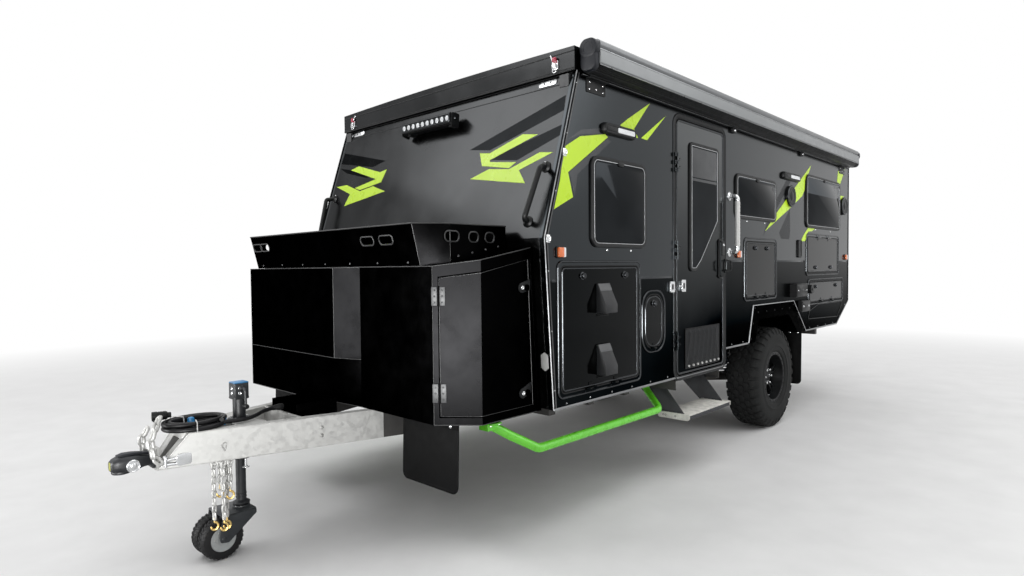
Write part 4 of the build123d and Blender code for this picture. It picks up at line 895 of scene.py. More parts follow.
# Vinyl shapes: on the side walls as (y, z), on the front wall as (x, z)
lime_side = {
    "front": [(-2.878, 1.982), (-2.752, 2.050), (-2.527, 2.093), (-2.499, 2.081), (-2.855, 1.853),
              (-2.815, 1.729), (-2.970, 1.658), (-2.921, 1.806), (-2.895, 1.934)],
    "door_front": [(-2.381, 2.164), (-2.299, 2.214), (-2.060, 2.345), (-2.172, 2.232), (-2.236, 2.167),
                   (-2.194, 2.118), (-2.247, 2.119), (-2.279, 2.146)],
    "door_rear": [(-2.161, 2.123), (-1.872, 2.302), (-2.095, 2.120)],
    "long": [(0.740, 2.283), (0.290, 2.018), (-0.114, 1.780), (-0.321, 1.641), (0.221, 1.858),
             (0.511, 1.983), (0.573, 2.041), (0.585, 2.132), (0.688, 2.214)],
    "high": [(1.531, 2.310), (1.761, 2.354), (1.598, 2.185), (1.501, 2.197)],
    "short": [(1.535, 2.069), (1.733, 2.074), (1.601, 2.024)],
    "low": [(0.668, 1.706), (0.856, 1.706), (0.775, 1.680), (0.669, 1.671), (0.592, 1.583),
            (0.490, 1.580), (0.540, 1.627)],
}
lime_front = {
    "far_high": [(-0.888, 2.081), (-0.793, 2.099), (-0.507, 2.024), (-0.433, 2.035), (-0.465, 1.950),
                 (-0.702, 1.918), (-0.773, 1.939), (-0.536, 1.979)],
    "far_low": [(-1.023, 1.970), (-0.891, 1.972), (-0.698, 1.910), (-0.550, 1.931), (-0.392, 1.882),
                (-0.856, 1.816), (-0.817, 1.899)],
    "near_high": [(0.468, 2.024), (0.553, 2.013), (0.783, 2.088), (0.895, 2.070), (0.565, 1.971),
                  (0.568, 1.960), (0.775, 1.934), (0.730, 1.906), (0.509, 1.944)],
    "near_low": [(0.431, 1.876), (0.573, 1.919), (0.732, 1.900), (0.935, 1.967), (1.026, 1.955),
                 (0.809, 1.886), (0.873, 1.808)],
}
charcoal_front = {
    "near_high": [(0.374, 2.056), (1.038, 2.259), (1.045, 2.176), (0.547, 2.031)],
    "near_low": [(0.540, 1.975), (1.050, 2.098), (1.050, 2.041), (0.779, 1.944)],
    "far_high": [(-1.030, 2.225), (-0.475, 2.100), (-0.610, 2.072), (-1.045, 2.145)],
    "far_low": [(-1.040, 2.110), (-0.560, 2.022), (-0.660, 2.000), (-0.930, 2.062)],
}
charcoal_side = {
    "front_high": [(-2.870, 2.012), (-2.745, 2.085), (-2.565, 2.120), (-2.500, 2.100), (-2.752, 2.060)],
    "front_low": [(-2.800, 1.735), (-2.775, 1.850), (-2.470, 2.060), (-2.505, 2.072), (-2.842, 1.855)],
    "rear_band": [(-0.360, 1.600), (-0.070, 1.840), (0.230, 2.085), (0.150, 2.100), (-0.220, 1.800)],
    "rear_patch": [(-0.020, 1.640), (0.215, 1.850), (0.225, 1.660), (0.205, 1.590), (0.020, 1.590)],
}


def decals():
    """Thin vinyl shapes on the side walls and on the raked front wall."""
    for name, finish, side_shapes, front_shapes, stand in (
            ("charcoal_decals", charcoal_vinyl, {}, charcoal_front, 0.0005),
            ("graphite_decals", graphite_vinyl, charcoal_side, {}, 0.0005),
            ("lime_decals", lime_vinyl, lime_side, lime_front, 0.0008)):
        shape = Shape()
        for outline in side_shapes.values():
            shape.slab(on_x(wall_x - 0.0002, outline), (stand + 0.0002, 0, 0))
            if max(z for _, z in outline) < 2.30 and min(y for y, _ in outline) < -2.4:
                shape.slab(on_x(0.0002 - wall_x, outline), (-stand - 0.0002, 0, 0))
        for outline in front_shapes.values():
            shape.slab([on_front(x, z, -0.0002) for x, z in outline], front_out * (stand + 0.0002))
        piece(name, shape, finish, slot="dark_cladding")


# ---- windows -------------------------------------------------------------------------------------
def window_trims():
    """Rim, bright line, domed pane, bolts and catch of each side and rear window; the bright line is a
    painted highlight.
    """
    rims, lines, panes, bolts = Shape(), Shape(), Shape(), Shape()
    profile = [(-0.004, 0.0), (-0.004, 0.0095), (-0.001, 0.0130), (0.013, 0.0135), (0.019, 0.0112),
            (0.019, 0.0098), (0.001, 0.0098), (0.001, 0.0)]
    for low, high in solids("windows"):
        if low.x > 0.6 or high.x < -0.6:
            side = 1 if low.x > 0 else -1
            out = Vector((side, 0, 0))
            outline = on_x(side * wall_x, rect(low.y, high.y, low.z, high.z, 0.055, 7))
            inner = on_x(side * (wall_x + 0.009), rect(low.y + 0.027, high.y - 0.027, low.z + 0.027,
                    high.z - 0.027, 0.032, 6))
            middle, width = (low.y + high.y) / 2, high.y - low.y
            along = Vector(Y)
            foot = Vector((side * wall_x, middle, low.z))
            head = Vector((side * (wall_x + 0.010), middle, high.z))
        else:
            out = Vector(Y)
            outline = on_y(tail_y, rect(low.x, high.x, low.z, high.z, 0.055, 7))
            inner = on_y(tail_y + 0.009, rect(low.x + 0.027, high.x - 0.027, low.z + 0.027,
                    high.z - 0.027, 0.032, 6))
            width = high.x - low.x
            along = Vector(X)
            foot = Vector((0, tail_y, low.z))
            head = Vector((0, tail_y + 0.010, high.z))
        rims.moulding(outline, out, profile)
        # Bright line on the rim: painted highlight.
        lines.moulding(outline, out, [(0.0175, 0.0110), (0.0175, 0.0142), (0.0205, 0.0142),
                (0.0205, 0.0110)])
        panes.slab(inner, out * 0.0045, 0.002)
        for reach in (-0.22 * width, 0.22 * width):
            bolts.screw(foot + along * reach - Vector((0, 0, 0.017)), out, 0.007)
        catch = [head + along * a - Vector((0, 0, b))
                for a, b in ((-0.03, 0.010), (0.03, 0.010), (0.022, 0.034), (-0.022, 0.034))]
        rims.slab(catch, out * 0.009, 0.002)
    piece("window_rims", rims, black_plastic)
    piece("window_rim_painted_highlights", lines, alloy)
    piece("window_domes", panes, acrylic)
    piece("window_bolts", bolts, bright_metal)


# ---- hatches: outside of each frame, lock places and corner radius -------------------------------
front_hatch = ((-2.950, -2.180, 0.697, 1.400), ((-2.743, 1.322), (-2.347, 1.322)), 0.038)
left_hatches = {
    "left_front_hatch": front_hatch,
    "left_slim_hatch": ((-2.163, -1.897, 0.847, 1.224), ((-2.030, 1.144),), 0.100),
    "left_middle_hatch": ((-0.719, -0.089, 1.096, 1.580), ((-0.517, 1.504), (-0.290, 1.504)), 0.038),
    "left_rear_hatch": ((0.619, 1.547, 1.271, 1.654), ((0.862, 1.345), (1.297, 1.345)), 0.038),
    "left_tail_hatch": ((0.675, 1.690, 1.000, 1.238), ((0.862, 1.165), (1.457, 1.165)), 0.038),
}
right_hatches = {
    "right_front_hatch": front_hatch,
    "right_rear_hatch": ((0.700, 1.250, 1.000, 1.400), ((0.860, 1.075), (1.090, 1.075)), 0.038),
}
frame_face = 0.004


def inset(limits, by):
    """The limits of an oblong, drawn in on all four sides."""
    y0, y1, z0, z1 = limits
    return y0 + by, y1 - by, z0 + by, z1 - by


def hatch_trims():
    """Rims and gaskets of the frames on the walls; rims and locks of the lids."""
    frames, gaskets = Shape(), Shape()
    for side, group in ((1, left_hatches), (-1, right_hatches)):
        out = Vector((side, 0, 0))
        for name, (limits, locks, corner) in group.items():
            outline = on_x(side * wall_x, rect(*limits, corner, 7))
            frames.moulding(outline, out, [(-0.003, 0), (-0.003, 0.0035), (0.0, 0.0075),
                    (0.006, 0.0078), (0.0095, 0.0042), (0.0095, 0.0036), (0.0, 0.0036), (0, 0)])
            seal = on_x(side * wall_x, rect(*inset(limits, 0.022), corner - 0.008, 7))
            gaskets.moulding(seal, out, [(0, 0.0035), (0.001, 0.0055), (0.0065, 0.0055),
                    (0.008, 0.0035)])
            lid, knobs = Shape(), Shape()
            edge = on_x(side * wall_x, rect(*inset(limits, 0.0325), corner - 0.012, 7))
            lid.moulding(edge, out, [(0.001, 0.0035), (0.003, 0.0070), (0.0085, 0.0070),
                    (0.0115, 0.0035)])
            for y, z in locks:
                at = Vector((side * (wall_x + frame_face), y, z))
                lid.turned(at, out, [(-0.001, 0.021), (0.002, 0.021), (0.0038, 0.0185),
                        (0.0038, 0.0150)], 24)
                knobs.turned(at, out, [(0.003, 0.0158), (0.0145, 0.0152), (0.0165, 0.0135),
                        (0.0165, 0.0078), (0.0145, 0.0070)], 24)
                knobs.turned(at, out, [(0.013, 0.0065), (0.0158, 0.0062), (0.0172, 0.0045)], 16)
            piece(name + "_rim", lid, dark_alloy, name)
            piece(name + "_locks", knobs, black_chrome, name)
    piece("hatch_frame_rims", frames, dark_alloy)
    piece("hatch_gaskets", gaskets, soft_rubber)


def vent_hoods():
    """Folded hoods over the vents of the front hatch, with louvres under them; a pale strip on each
    sloping top is a painted highlight.
    """
    shape, caps, slats = Shape(), Shape(), Shape()
    for low, high in ((1.120, 1.275), (0.785, 0.945)):
        face = wall_x + frame_face
        outline = [(face, low - 0.001), (face + 0.0635, low - 0.001), (face + 0.0635, low + 0.046),
                (face + 0.010, high + 0.002), (face, high + 0.002)]
        shape.slab(on_y(-2.6215, outline), (0, 0.110, 0), 0.003)
        # Pale strip on the sloping top of each hood: painted highlight.
        caps.slab(on_y(-2.6205, [(face + 0.004, high + 0.0015), (face + 0.012, high + 0.0035),
                (face + 0.030, high - 0.036), (face + 0.022, high - 0.040)]), (0, 0.108, 0), 0.0015)
        for z in (low - 0.010, low - 0.018):
            slats.box(face - 0.001, face + 0.008, -2.617, -2.516, z, z + 0.003, 0.0008)
    piece("vent_hoods", shape, hood_grey, "left_front_hatch")
    piece("vent_hood_painted_highlights", caps, grey_plastic, "left_front_hatch", "black_plastic")
    piece("vent_louvres", slats, black_plastic, "left_front_hatch")


# ---- entry door ----------------------------------------------------------------------------------
door_limits = (-1.751, -1.0765, 0.665, 2.305)
door_face = wall_x + 0.002
door_hinges = (2.027, 1.470, 0.890)
door_window = [(-1.580, 1.337), (-1.500, 1.337), (-1.425, 1.393), (-1.172, 1.675), (-1.172, 2.178),
        (-1.580, 2.178)]


def door_trims():
    """Surround on the wall; edge, window rim and blind on the door, and a bright line on the rim that
    is a painted highlight.
    """
    surround = Shape()
    opening = on_x(wall_x, rect(-1.757, -1.068, 0.659, 2.311, 0.045, 7))
    surround.moulding(opening, X, [(-0.030, 0), (-0.030, 0.0035), (-0.024, 0.0050), (-0.020, 0.0026),
            (-0.010, 0.0026), (-0.006, 0.0050), (-0.001, 0.0040), (-0.001, -0.01)])
    piece("door_surround", surround, black_plastic)
    bright = Shape()
    bright.moulding(opening, X, [(-0.0315, 0), (-0.0315, 0.0030), (-0.0285, 0.0052), (-0.0270, 0.0035)])
    piece("door_surround_line", bright, dark_alloy)
    panel = Shape()
    edge = on_x(door_face, rect(*inset(door_limits, 0.001), 0.038, 7))
    panel.moulding(edge, X, [(0, -0.004), (0, 0.002), (0.003, 0.0048), (0.010, 0.0048), (0.014, 0.0015),
            (0.014, -0.001)])
    piece("door_edge", panel, dark_alloy, "entry_door")
    rim, line = Shape(), Shape()
    glass = rounded(door_window, 0.030, 6)
    rim.moulding(on_x(door_face, glass), X, [(-0.004, 0), (-0.004, 0.0075), (0.0, 0.0115),
            (0.013, 0.0115), (0.018, 0.0088), (0.018, 0.0078), (0.0, 0.0078), (0, 0)])
    # Bright line on the window rim: painted highlight.
    line.moulding(on_x(door_face, glass), X, [(0.0170, 0.0085), (0.0170, 0.0122), (0.0205, 0.0122),
            (0.0205, 0.0085)])
    piece("door_window_rim", rim, black_plastic, "entry_door")
    piece("door_window_painted_highlight", line, alloy, "entry_door")
    blind = Shape()
    blind_x = door_face + 0.0078
    for z0, z1, corner, thick, bevel in ((1.955, 2.150, 0.012, 0.0008, 0.0003),
                                         (1.930, 1.948, 0.004, 0.0022, 0.0006)):
        blind.slab(on_x(blind_x, rect(-1.553, -1.199, z0, z1, corner, 3)), (thick, 0, 0), bevel)
    piece("door_blind", blind, shade_panel, "entry_door")


def door_fittings():
    """Lock bezel, catch blocks and hinge screws."""
    lock = Shape()
    lock.slab(on_x(door_face, rect(-1.161, -1.089, 1.278, 1.557, 0.018, 5)), (0.009, 0, 0), 0.003)
    lock.slab(on_x(door_face + 0.019, rect(-1.146, -1.104, 1.440, 1.538, 0.010, 4)), (0.006, 0, 0),
            0.002)
    loop = bent([(wall_x + 0.022, -1.100, 1.412), (wall_x + 0.050, -1.050, 1.400),
            (wall_x + 0.050, -1.050, 1.335), (wall_x + 0.022, -1.100, 1.322)], 0.014)
    lock.tube(loop, 0.006, 10)
    piece("door_lock_bezel", lock, black_plastic, "entry_door")
    bright = Shape()
    bright.turned((door_face + 0.025, -1.125, 1.515), X,
            [(-0.001, 0.009), (0.0025, 0.009), (0.004, 0.007), (0.004, 0.003), (0.002, 0.002)], 20)
    bright.slab(on_x(door_face, rect(-1.703, -1.652, 1.202, 1.280, 0.006, 3)), (0.0155, 0, 0), 0.002)
    bright.tube([(door_face + 0.010, -1.745, 1.240), (door_face + 0.010, -1.700, 1.240)], 0.006, 12)
    piece("door_bright_parts", bright, bright_metal, "entry_door")
    dark = Shape()
    for z in door_hinges:
        for dz in (-0.024, 0.024):
            dark.screw((wall_x + 0.0165, -1.727, z + dz), X, 0.004)
    # The black slab on the catch block stands for its slot: painted shade.
    dark.slab(on_x(door_face + 0.0150, rect(-1.688, -1.667, 1.222, 1.260, 0.008, 4)), (0.0012, 0, 0),
            0.0004)
    piece("door_catch_slot", dark, black_plastic, "entry_door")
    wall = Shape()
    wall.slab(on_x(wall_x, rect(-1.845, -1.792, 1.203, 1.272, 0.006, 3)), (0.0155, 0, 0), 0.002)
    piece("door_catch_plate", wall, bright_metal)
    hole = Shape()
    for z in door_hinges:
        for dz in (-0.048, 0, 0.048):
            hole.screw((wall_x + 0.0160, -1.776, z + dz), X, 0.004)
    # The black slab on the catch plate stands for its slot: painted shade.
    hole.slab(on_x(wall_x + 0.0150, rect(-1.830, -1.808, 1.220, 1.256, 0.008, 4)), (0.0012, 0, 0),
            0.0004)
    piece("wall_catch_slot", hole, black_plastic)


def door_pocket():
    """Pleated canvas pocket: leaning folds under a sewn hem, eyelets along the foot."""
    low, high = van_box("door_pocket")
    folds, across, down = 8, 160, 26
    width, height = high.y - low.y, high.z - low.z
    shape = Shape()
    rings = []
    for j in range(down + 1):
        v = j / down
        ring = []
        for i in range(across + 1):
            u = i / across
            phase = (u * folds + 0.9 * (1 - v) ** 1.5 * (0.5 + 0.5 * (1 - v))) % 1.0
            crest = (phase / 0.78) ** 1.6 if phase < 0.78 else ((1 - phase) / 0.22) ** 1.2
            ends = min(1.0, 9 * u, 9 * (1 - u)) * min(1.0, 6 * v + 0.25, 7 * (1 - v) + 0.1)
            sag = 0.004 * sin(pi * u) * (1 - v)
            ring.append(Vector((low.x + 0.0015 + (0.006 + 0.0135 * crest) * ends, low.y + width * u,
                    low.z + height * v - sag * (1 if j < down else 0) + 0.004 * (j == 0))))
        rings.append(ring)
    shape.skin(rings, wrap=False)
    made = piece("pleated_pocket", shape, pocket_cloth, "entry_door", sharp=60)
    made.modifiers.new("thickness", "SOLIDIFY").thickness = 0.0012
    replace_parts(made, "door_pocket")
    hem = Shape()
    hem_x, foot, top = low.x + 0.004, low.z + 0.006, high.z - 0.004
    for z in (top, foot):
        hem.tube([(hem_x, low.y + 0.004, z), (hem_x, high.y - 0.004, z)], 0.0035, 8)
    for y in (low.y + 0.002, high.y - 0.002):
        hem.tube([(hem_x, y, foot), (hem_x, y, top)], 0.003, 8)
    binding = piece("pocket_binding", hem, soft_rubber, "entry_door", "canvas")
    eyelets = Shape()
    for k in range(8):
        at = (low.x + 0.0135, low.y + width * (k + 0.55) / 8, low.z + 0.022)
        eyelets.turned(at, X, [(-0.006, 0.0075), (0.0015, 0.0075), (0.0030, 0.0060), (0.0025, 0.0040),
                (-0.006, 0.0036)], 16, closed=True)
    eyelet_rings = piece("pocket_eyelets", eyelets, white_plastic, "entry_door", "canvas")


def entry_handle():
    """Pale grip and bright feet of the entry grab handle."""
    low, high = van_box("entry_grab_handle")
    x, y = high.x - 0.015, (low.y + high.y) / 2
    grip = Shape()
    z0, z1 = low.z + 0.068, high.z - 0.068
    profile = [(0, 0.0158)]
    for k in range(12):
        at = (z1 - z0) * (k + 0.5) / 12
        half = (z1 - z0) / 26
        profile += [(at - half, 0.0166), (at - half * 0.6, 0.0180), (at + half * 0.6, 0.0180),
                (at + half, 0.0166)]
    profile += [(z1 - z0, 0.0158)]
    grip.turned((x, y, z0), Z, profile, 24)
    piece("entry_grip", grip, white_plastic)
    feet = Shape()
    for z in (low.z + 0.026, high.z - 0.026):
        feet.turned((wall_x, y, z), X, [(0, 0.032), (0.004, 0.032), (0.008, 0.027), (0.013, 0.018),
                (0.022, 0.0165)], 28)
        for turn in (0.5, 2.6, 4.7):
            at = (wall_x + 0.0045, y + 0.024 * cos(turn), z + 0.024 * sin(turn))
            feet.screw(at, X, 0.004)
    piece("entry_handle_feet", feet, bright_metal)


# ---- lamps, speakers and small fittings ----------------------------------------------------------
def rear_lamp(low, high, housing, cells):
    """Upright lamp on the rear wall: its frame and its cells, each from one height to another."""
    back = tail_y + 0.0395
    housing.moulding(on_y(back, rect(low.x, high.x, low.z, high.z, 0.018, 5)), Y,
            [(-0.004, -0.03), (-0.004, 0.001), (0.0, 0.004), (0.008, 0.004), (0.010, 0),
            (0.010, -0.02)])
    for target, z0, z1 in cells:
        target.slab(on_y(back, rect(low.x + 0.012, high.x - 0.012, low.z + z0, low.z + z1, 0.012, 4)),
                (0, 0.006, 0), 0.0025)


def speaker(middle, rings, cones):
    """Round speaker beside the door, with four screws."""
    at = Vector((wall_x, middle.y, middle.z))
    rings.turned(at, X, [(0.012, 0.0915), (0.017, 0.0915), (0.021, 0.087), (0.021, 0.077),
            (0.0185, 0.074)], 48, closed=True)
    cones.turned(at, X, [(0.0180, 0.075), (0.0190, 0.066), (0.0200, 0.062), (0.0183, 0.054),
            (0.0182, 0.030), (0.0215, 0.024), (0.0230, 0.010)], 48)
    for t in circle(4, pi / 4):
        rings.screw((wall_x + 0.021, middle.y + 0.082 * cos(t), middle.z + 0.082 * sin(t)), X, 0.0035)


def wall_lamp(low, high, housing, clear):
    """Flat lamp on the wall: a clear lens beside a dark panel, in one frame."""
    width = high.y - low.y
    z0, z1 = low.z + 0.013, high.z - 0.013
    clear.slab(on_x(wall_x + 0.021, rect(low.y + 0.40 * width, high.y - 0.016, z0, z1, 0.008, 4)),
            (0.004, 0, 0), 0.0018)
    housing.slab(on_x(wall_x + 0.020, rect(low.y + 0.014, low.y + 0.38 * width, z0, z1, 0.006, 4)),
            (0.0055, 0, 0), 0.002)
    housing.moulding(on_x(wall_x, rect(low.y, high.y, low.z, high.z, 0.020, 5)), X,
            [(-0.005, 0), (-0.005, 0.004), (-0.001, 0.020), (0.004, 0.0255), (0.011, 0.0255),
            (0.014, 0.021), (0.0, 0.020), (0, 0)])


def side_marker(side, y, z, housing, amber, clear):
    """Small marker lamp: amber at the front, clear behind."""
    front, split, rear = y - 0.029, y + 0.013, y + 0.029
    face = side * (wall_x + 0.005)
    housing.slab(on_x(side * wall_x, rect(y - 0.034, y + 0.034, z - 0.030, z + 0.030, 0.010, 4)),
            (side * 0.006, 0, 0), 0.002)
    amber.slab(on_x(face, rect(front, split, z - 0.025, z + 0.025, 0.008, 4)), (side * 0.016, 0, 0),
            0.005)
    clear.slab(on_x(face, rect(split, rear, z - 0.025, z + 0.025, 0.006, 4)), (side * 0.014, 0, 0),
            0.004)


def lamp_details():
    """Rear lamps, speakers, wall lamps and side markers."""
    housings, clear, rings, cones, red, amber = (Shape() for _ in range(6))
    for low, high in solids("lamps"):
        if high.y > tail_y + 0.02:
            rear_lamp(low, high, housings, ((red, 0.012, 0.150), (amber, 0.158, 0.262),
                    (clear, 0.270, 0.388)))
        elif high.z - low.z > 0.1:
            speaker((low + high) / 2, rings, cones)
        else:
            wall_lamp(low, high, housings, clear)
    for side in (1, -1):
        for y, z in ((-0.826, 1.453), (-2.925, 1.444), (1.780, 1.445)):
            side_marker(side, y, z, housings, amber, clear)
    piece("lamp_housings", housings, black_plastic)
    piece("lamp_clear_lenses", clear, clear_lens)
    piece("lamp_red_lenses", red, red_lens)
    piece("lamp_amber_lenses", amber, amber_lens)
    piece("speaker_rings", rings, dark_alloy)
    piece("speaker_cones", cones, black_plastic)


def reflectors_and_hooks():
    """Pale reflectors low on the front wall, and tie hooks on its corners."""
    white, hooks = Shape(), Shape()
    x0, x1, z0, z1 = 1.019, 1.066, 0.847, 0.943
    middle = (x0 + x1) / 2
    outline = [(x0, z0 + 0.016), (middle, z0), (x1, z0 + 0.016), (x1, z1 - 0.016), (middle, z1),
            (x0, z1 - 0.016)]
    white.slab([Vector((x, nose_y(z) - 0.0005, z)) for x, z in outline], (0, -0.006, 0), 0.0015)
    piece("front_reflectors", white.mirrored(), white_plastic, slot="lens")
    for z in (1.95, 1.51):
        y = nose_y(z) + 0.020
        hooks.slab(on_x(wall_x + 0.003, rect(y - 0.012, y + 0.016, z - 0.020, z + 0.020, 0.004, 3)),
                (0.004, 0, 0), 0.001)
        hooks.tube(bent([(wall_x + 0.006, y, z + 0.010), (wall_x + 0.022, y, z + 0.010),
                (wall_x + 0.022, y, z - 0.012), (wall_x + 0.006, y, z - 0.012)], 0.006), 0.003, 8)
    piece("corner_hooks", hooks.mirrored(), bright_metal)


def fitting_details():
    """Lids and frames of the inlets under the rear windows, and the line round the tail hatch."""
    dark, bright = Shape(), Shape()
    face = wall_x
    dark.slab(on_x(face + 0.054, rect(0.232, 0.495, 1.094, 1.199, 0.010, 4)), (0.006, 0, 0), 0.002)
    dark.box(face + 0.0005, face + 0.060, 0.222, 0.505, 1.199, 1.207, 0.002)
    for y in (0.262, 0.465):
        bright.screw((face + 0.060, y, 1.147), X, 0.006)
    dark.turned((face, 0.575, 1.150), X, [(0.0, 0.046), (0.006, 0.046), (0.010, 0.040)], 30)
    dark.turned((face + 0.069, 0.575, 1.150), X,
            [(-0.012, 0.0395), (0.002, 0.0395), (0.005, 0.036), (0.005, 0.012), (0.009, 0.010)], 30)
    dark.slab(on_x(face + 0.029, rect(0.436, 0.634, 0.956, 1.044, 0.008, 4)), (0.005, 0, 0), 0.002)
    bright.bolt((face + 0.033, 0.470, 1.000), X, 0.006)
    bright.bolt((face + 0.033, 0.600, 1.000), X, 0.006)
    dark.moulding(on_x(face, rect(0.403, 0.479, 1.438, 1.587, 0.012, 4)), X,
            [(-0.004, 0), (-0.004, 0.010), (0.0, 0.0135), (0.008, 0.0135), (0.010, 0.009), (0, 0.009)])
    line = [(0.679, 0.872), (0.705, 0.942), (0.950, 1.013 - 0.018), (1.690, 0.992), (1.526, 0.845)]
    dark.moulding(on_x(face, rounded(line, 0.012, 3)), X,
            [(-0.002, 0), (-0.002, 0.003), (0.003, 0.003), (0.003, 0)])
    piece("fitting_lids", dark, black_plastic)
    piece("fitting_screws", bright, bright_metal)


def arch_trims():
    """Edge bead and bolts of the wheel-arch flanges."""
    bead, bolts = Shape(), Shape()
    flange = [(-0.638, 0.772), (-0.552, 1.055), (0.300, 1.055), (0.605, 0.772)]
    x = wall_x + 0.006
    path = on_x(x, flange)
    bead.moulding(path[::-1], X, [(0.001, -0.005), (0.001, 0.0015), (-0.004, 0.0025), (-0.006, -0.001),
            (-0.006, -0.005)], closed=False)
    for start, end, count in (((-0.605, 0.80), (-0.525, 1.035), 3),
            ((-0.470, 1.000), (0.200, 1.000), 5), ((0.285, 1.025), (0.530, 0.800), 3)):
        for k in range(count):
            bolts.screw((x, *place_between(start, end, k / (count - 1))), X, 0.006)
    piece("arch_beads", bead.mirrored(), alloy)
    piece("arch_bolts", bolts.mirrored(), black_plastic)


# ---- wheels --------------------------------------------------------------------------------------
tyre_half = tyre_width / 2
tread_pitches = 34
groove_radius = tyre_radius - 0.012


def side_wheel(side):
    """Places (across, radius, angle) of a wheel on the axle; across grows outwards."""
    middle = wheel_outer_x - tyre_half

    def place(across, radius, turn):
        return Vector((side * (middle + across), radius * cos(turn), tyre_radius + radius * sin(turn)))
    return place


def spare_place(across, radius, turn):
    """Places on the spare wheel, whose outer side faces the tail."""
    middle = (spare_low + spare_high) / 2
    return Vector((radius * cos(turn), middle.y + across, middle.z + radius * sin(turn)))


def hoop(shape, place, profile, steps=96):
    """A closed profile of (across, radius) turned about a wheel's axis."""
    rings = [[place(a, r, t) for a, r in profile] for t in circle(steps)]
    shape.skin(rings, closed=True)


def tread_block(shape, place, across, turn, width, length, lean):
    """One many-sided block of the middle rows, a little smaller at its top."""
    corners = [(-0.50, -0.30), (0.05, -0.50), (0.50, -0.26), (0.50, 0.22), (0.10, 0.50), (-0.50, 0.30)]
    rings = []
    for radius, share in ((groove_radius - 0.001, 1.0), (tyre_radius - 0.0016, 0.93),
            (tyre_radius, 0.84)):
        rings.append([place(across + width * a * share, radius,
                turn + (length * b * share + lean * a) / tyre_radius) for a, b in corners])
    shape.skin(rings)


def shoulder_lug(shape, place, hand, turn, length, reach):
    """A lug that runs over the shoulder and down the side of the tyre."""
    tops = [(0.078, tyre_radius), (0.102, tyre_radius - 0.0008), (0.119, tyre_radius - 0.010),
            (0.129, tyre_radius - 0.028), (0.1345, tyre_radius - 0.028 - reach)]
    feet = [(0.078, groove_radius), (0.098, groove_radius - 0.001), (0.111, groove_radius - 0.009),
            (0.121, groove_radius - 0.026), (0.1285, groove_radius - 0.020 - reach)]
    shares = (0.80, 1.0, 0.96, 0.80, 0.58)
    rings = []
    for (xt, rt), (xf, rf), share in zip(tops, feet, shares):
        half = length * share / 2 / tyre_radius
        rings.append([place(hand * xf, rf, turn - half * 1.08),
                place(hand * xt, rt, turn - half * 0.92), place(hand * xt, rt, turn + half * 0.92),
                place(hand * xf, rf, turn + half * 1.08)])
    shape.skin(rings)


def tyre(name, place, body, *nodes):
    """Mud tyre: two rows of shoulder lugs with blocks between them."""
    shape = Shape()
    half = [(0.108, 0.207), (0.1165, 0.216), (0.125, 0.2235), (0.1285, 0.232), (0.1280, 0.240),
            (0.1320, 0.262), (0.1345, 0.264), (0.1350, 0.268), (0.1335, 0.271), (0.1355, 0.305),
            (0.1345, 0.340), (0.1300, 0.366), (0.1210, 0.386), (0.1090, 0.4000),
            (0.095, groove_radius - 0.001), (0.050, groove_radius)]
    inside = [(-0.100, 0.222), (0.100, 0.222)]
    profile = half + [(0, groove_radius)] + [(-a, r) for a, r in reversed(half)] + inside
    hoop(shape, place, profile)
    step = 2 * pi / tread_pitches
    arc = step * tyre_radius
    big, small = (arc * 0.74, 0.034), (arc * 0.66, 0.020)     # lugs by turns: length and reach
    for k in range(tread_pitches):
        turn = k * step
        outer, inner = (small, big) if k % 2 else (big, small)
        shoulder_lug(shape, place, 1, turn, *outer)
        shoulder_lug(shape, place, -1, turn + step / 2, *inner)
        for across, shift, width in ((0.054, 0.30, 0.042), (0.010, 0.72, 0.038), (-0.034, 0.18, 0.040)):
            tread_block(shape, place, across, turn + shift * step, width, arc * 0.80, 0.012)
        tread_block(shape, place, -0.066, turn + 0.62 * step, 0.018, arc * 0.55, 0.0)
    made = piece(name, shape, tyre_finish, body, sharp=32)
    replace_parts(made, *nodes)
    return made


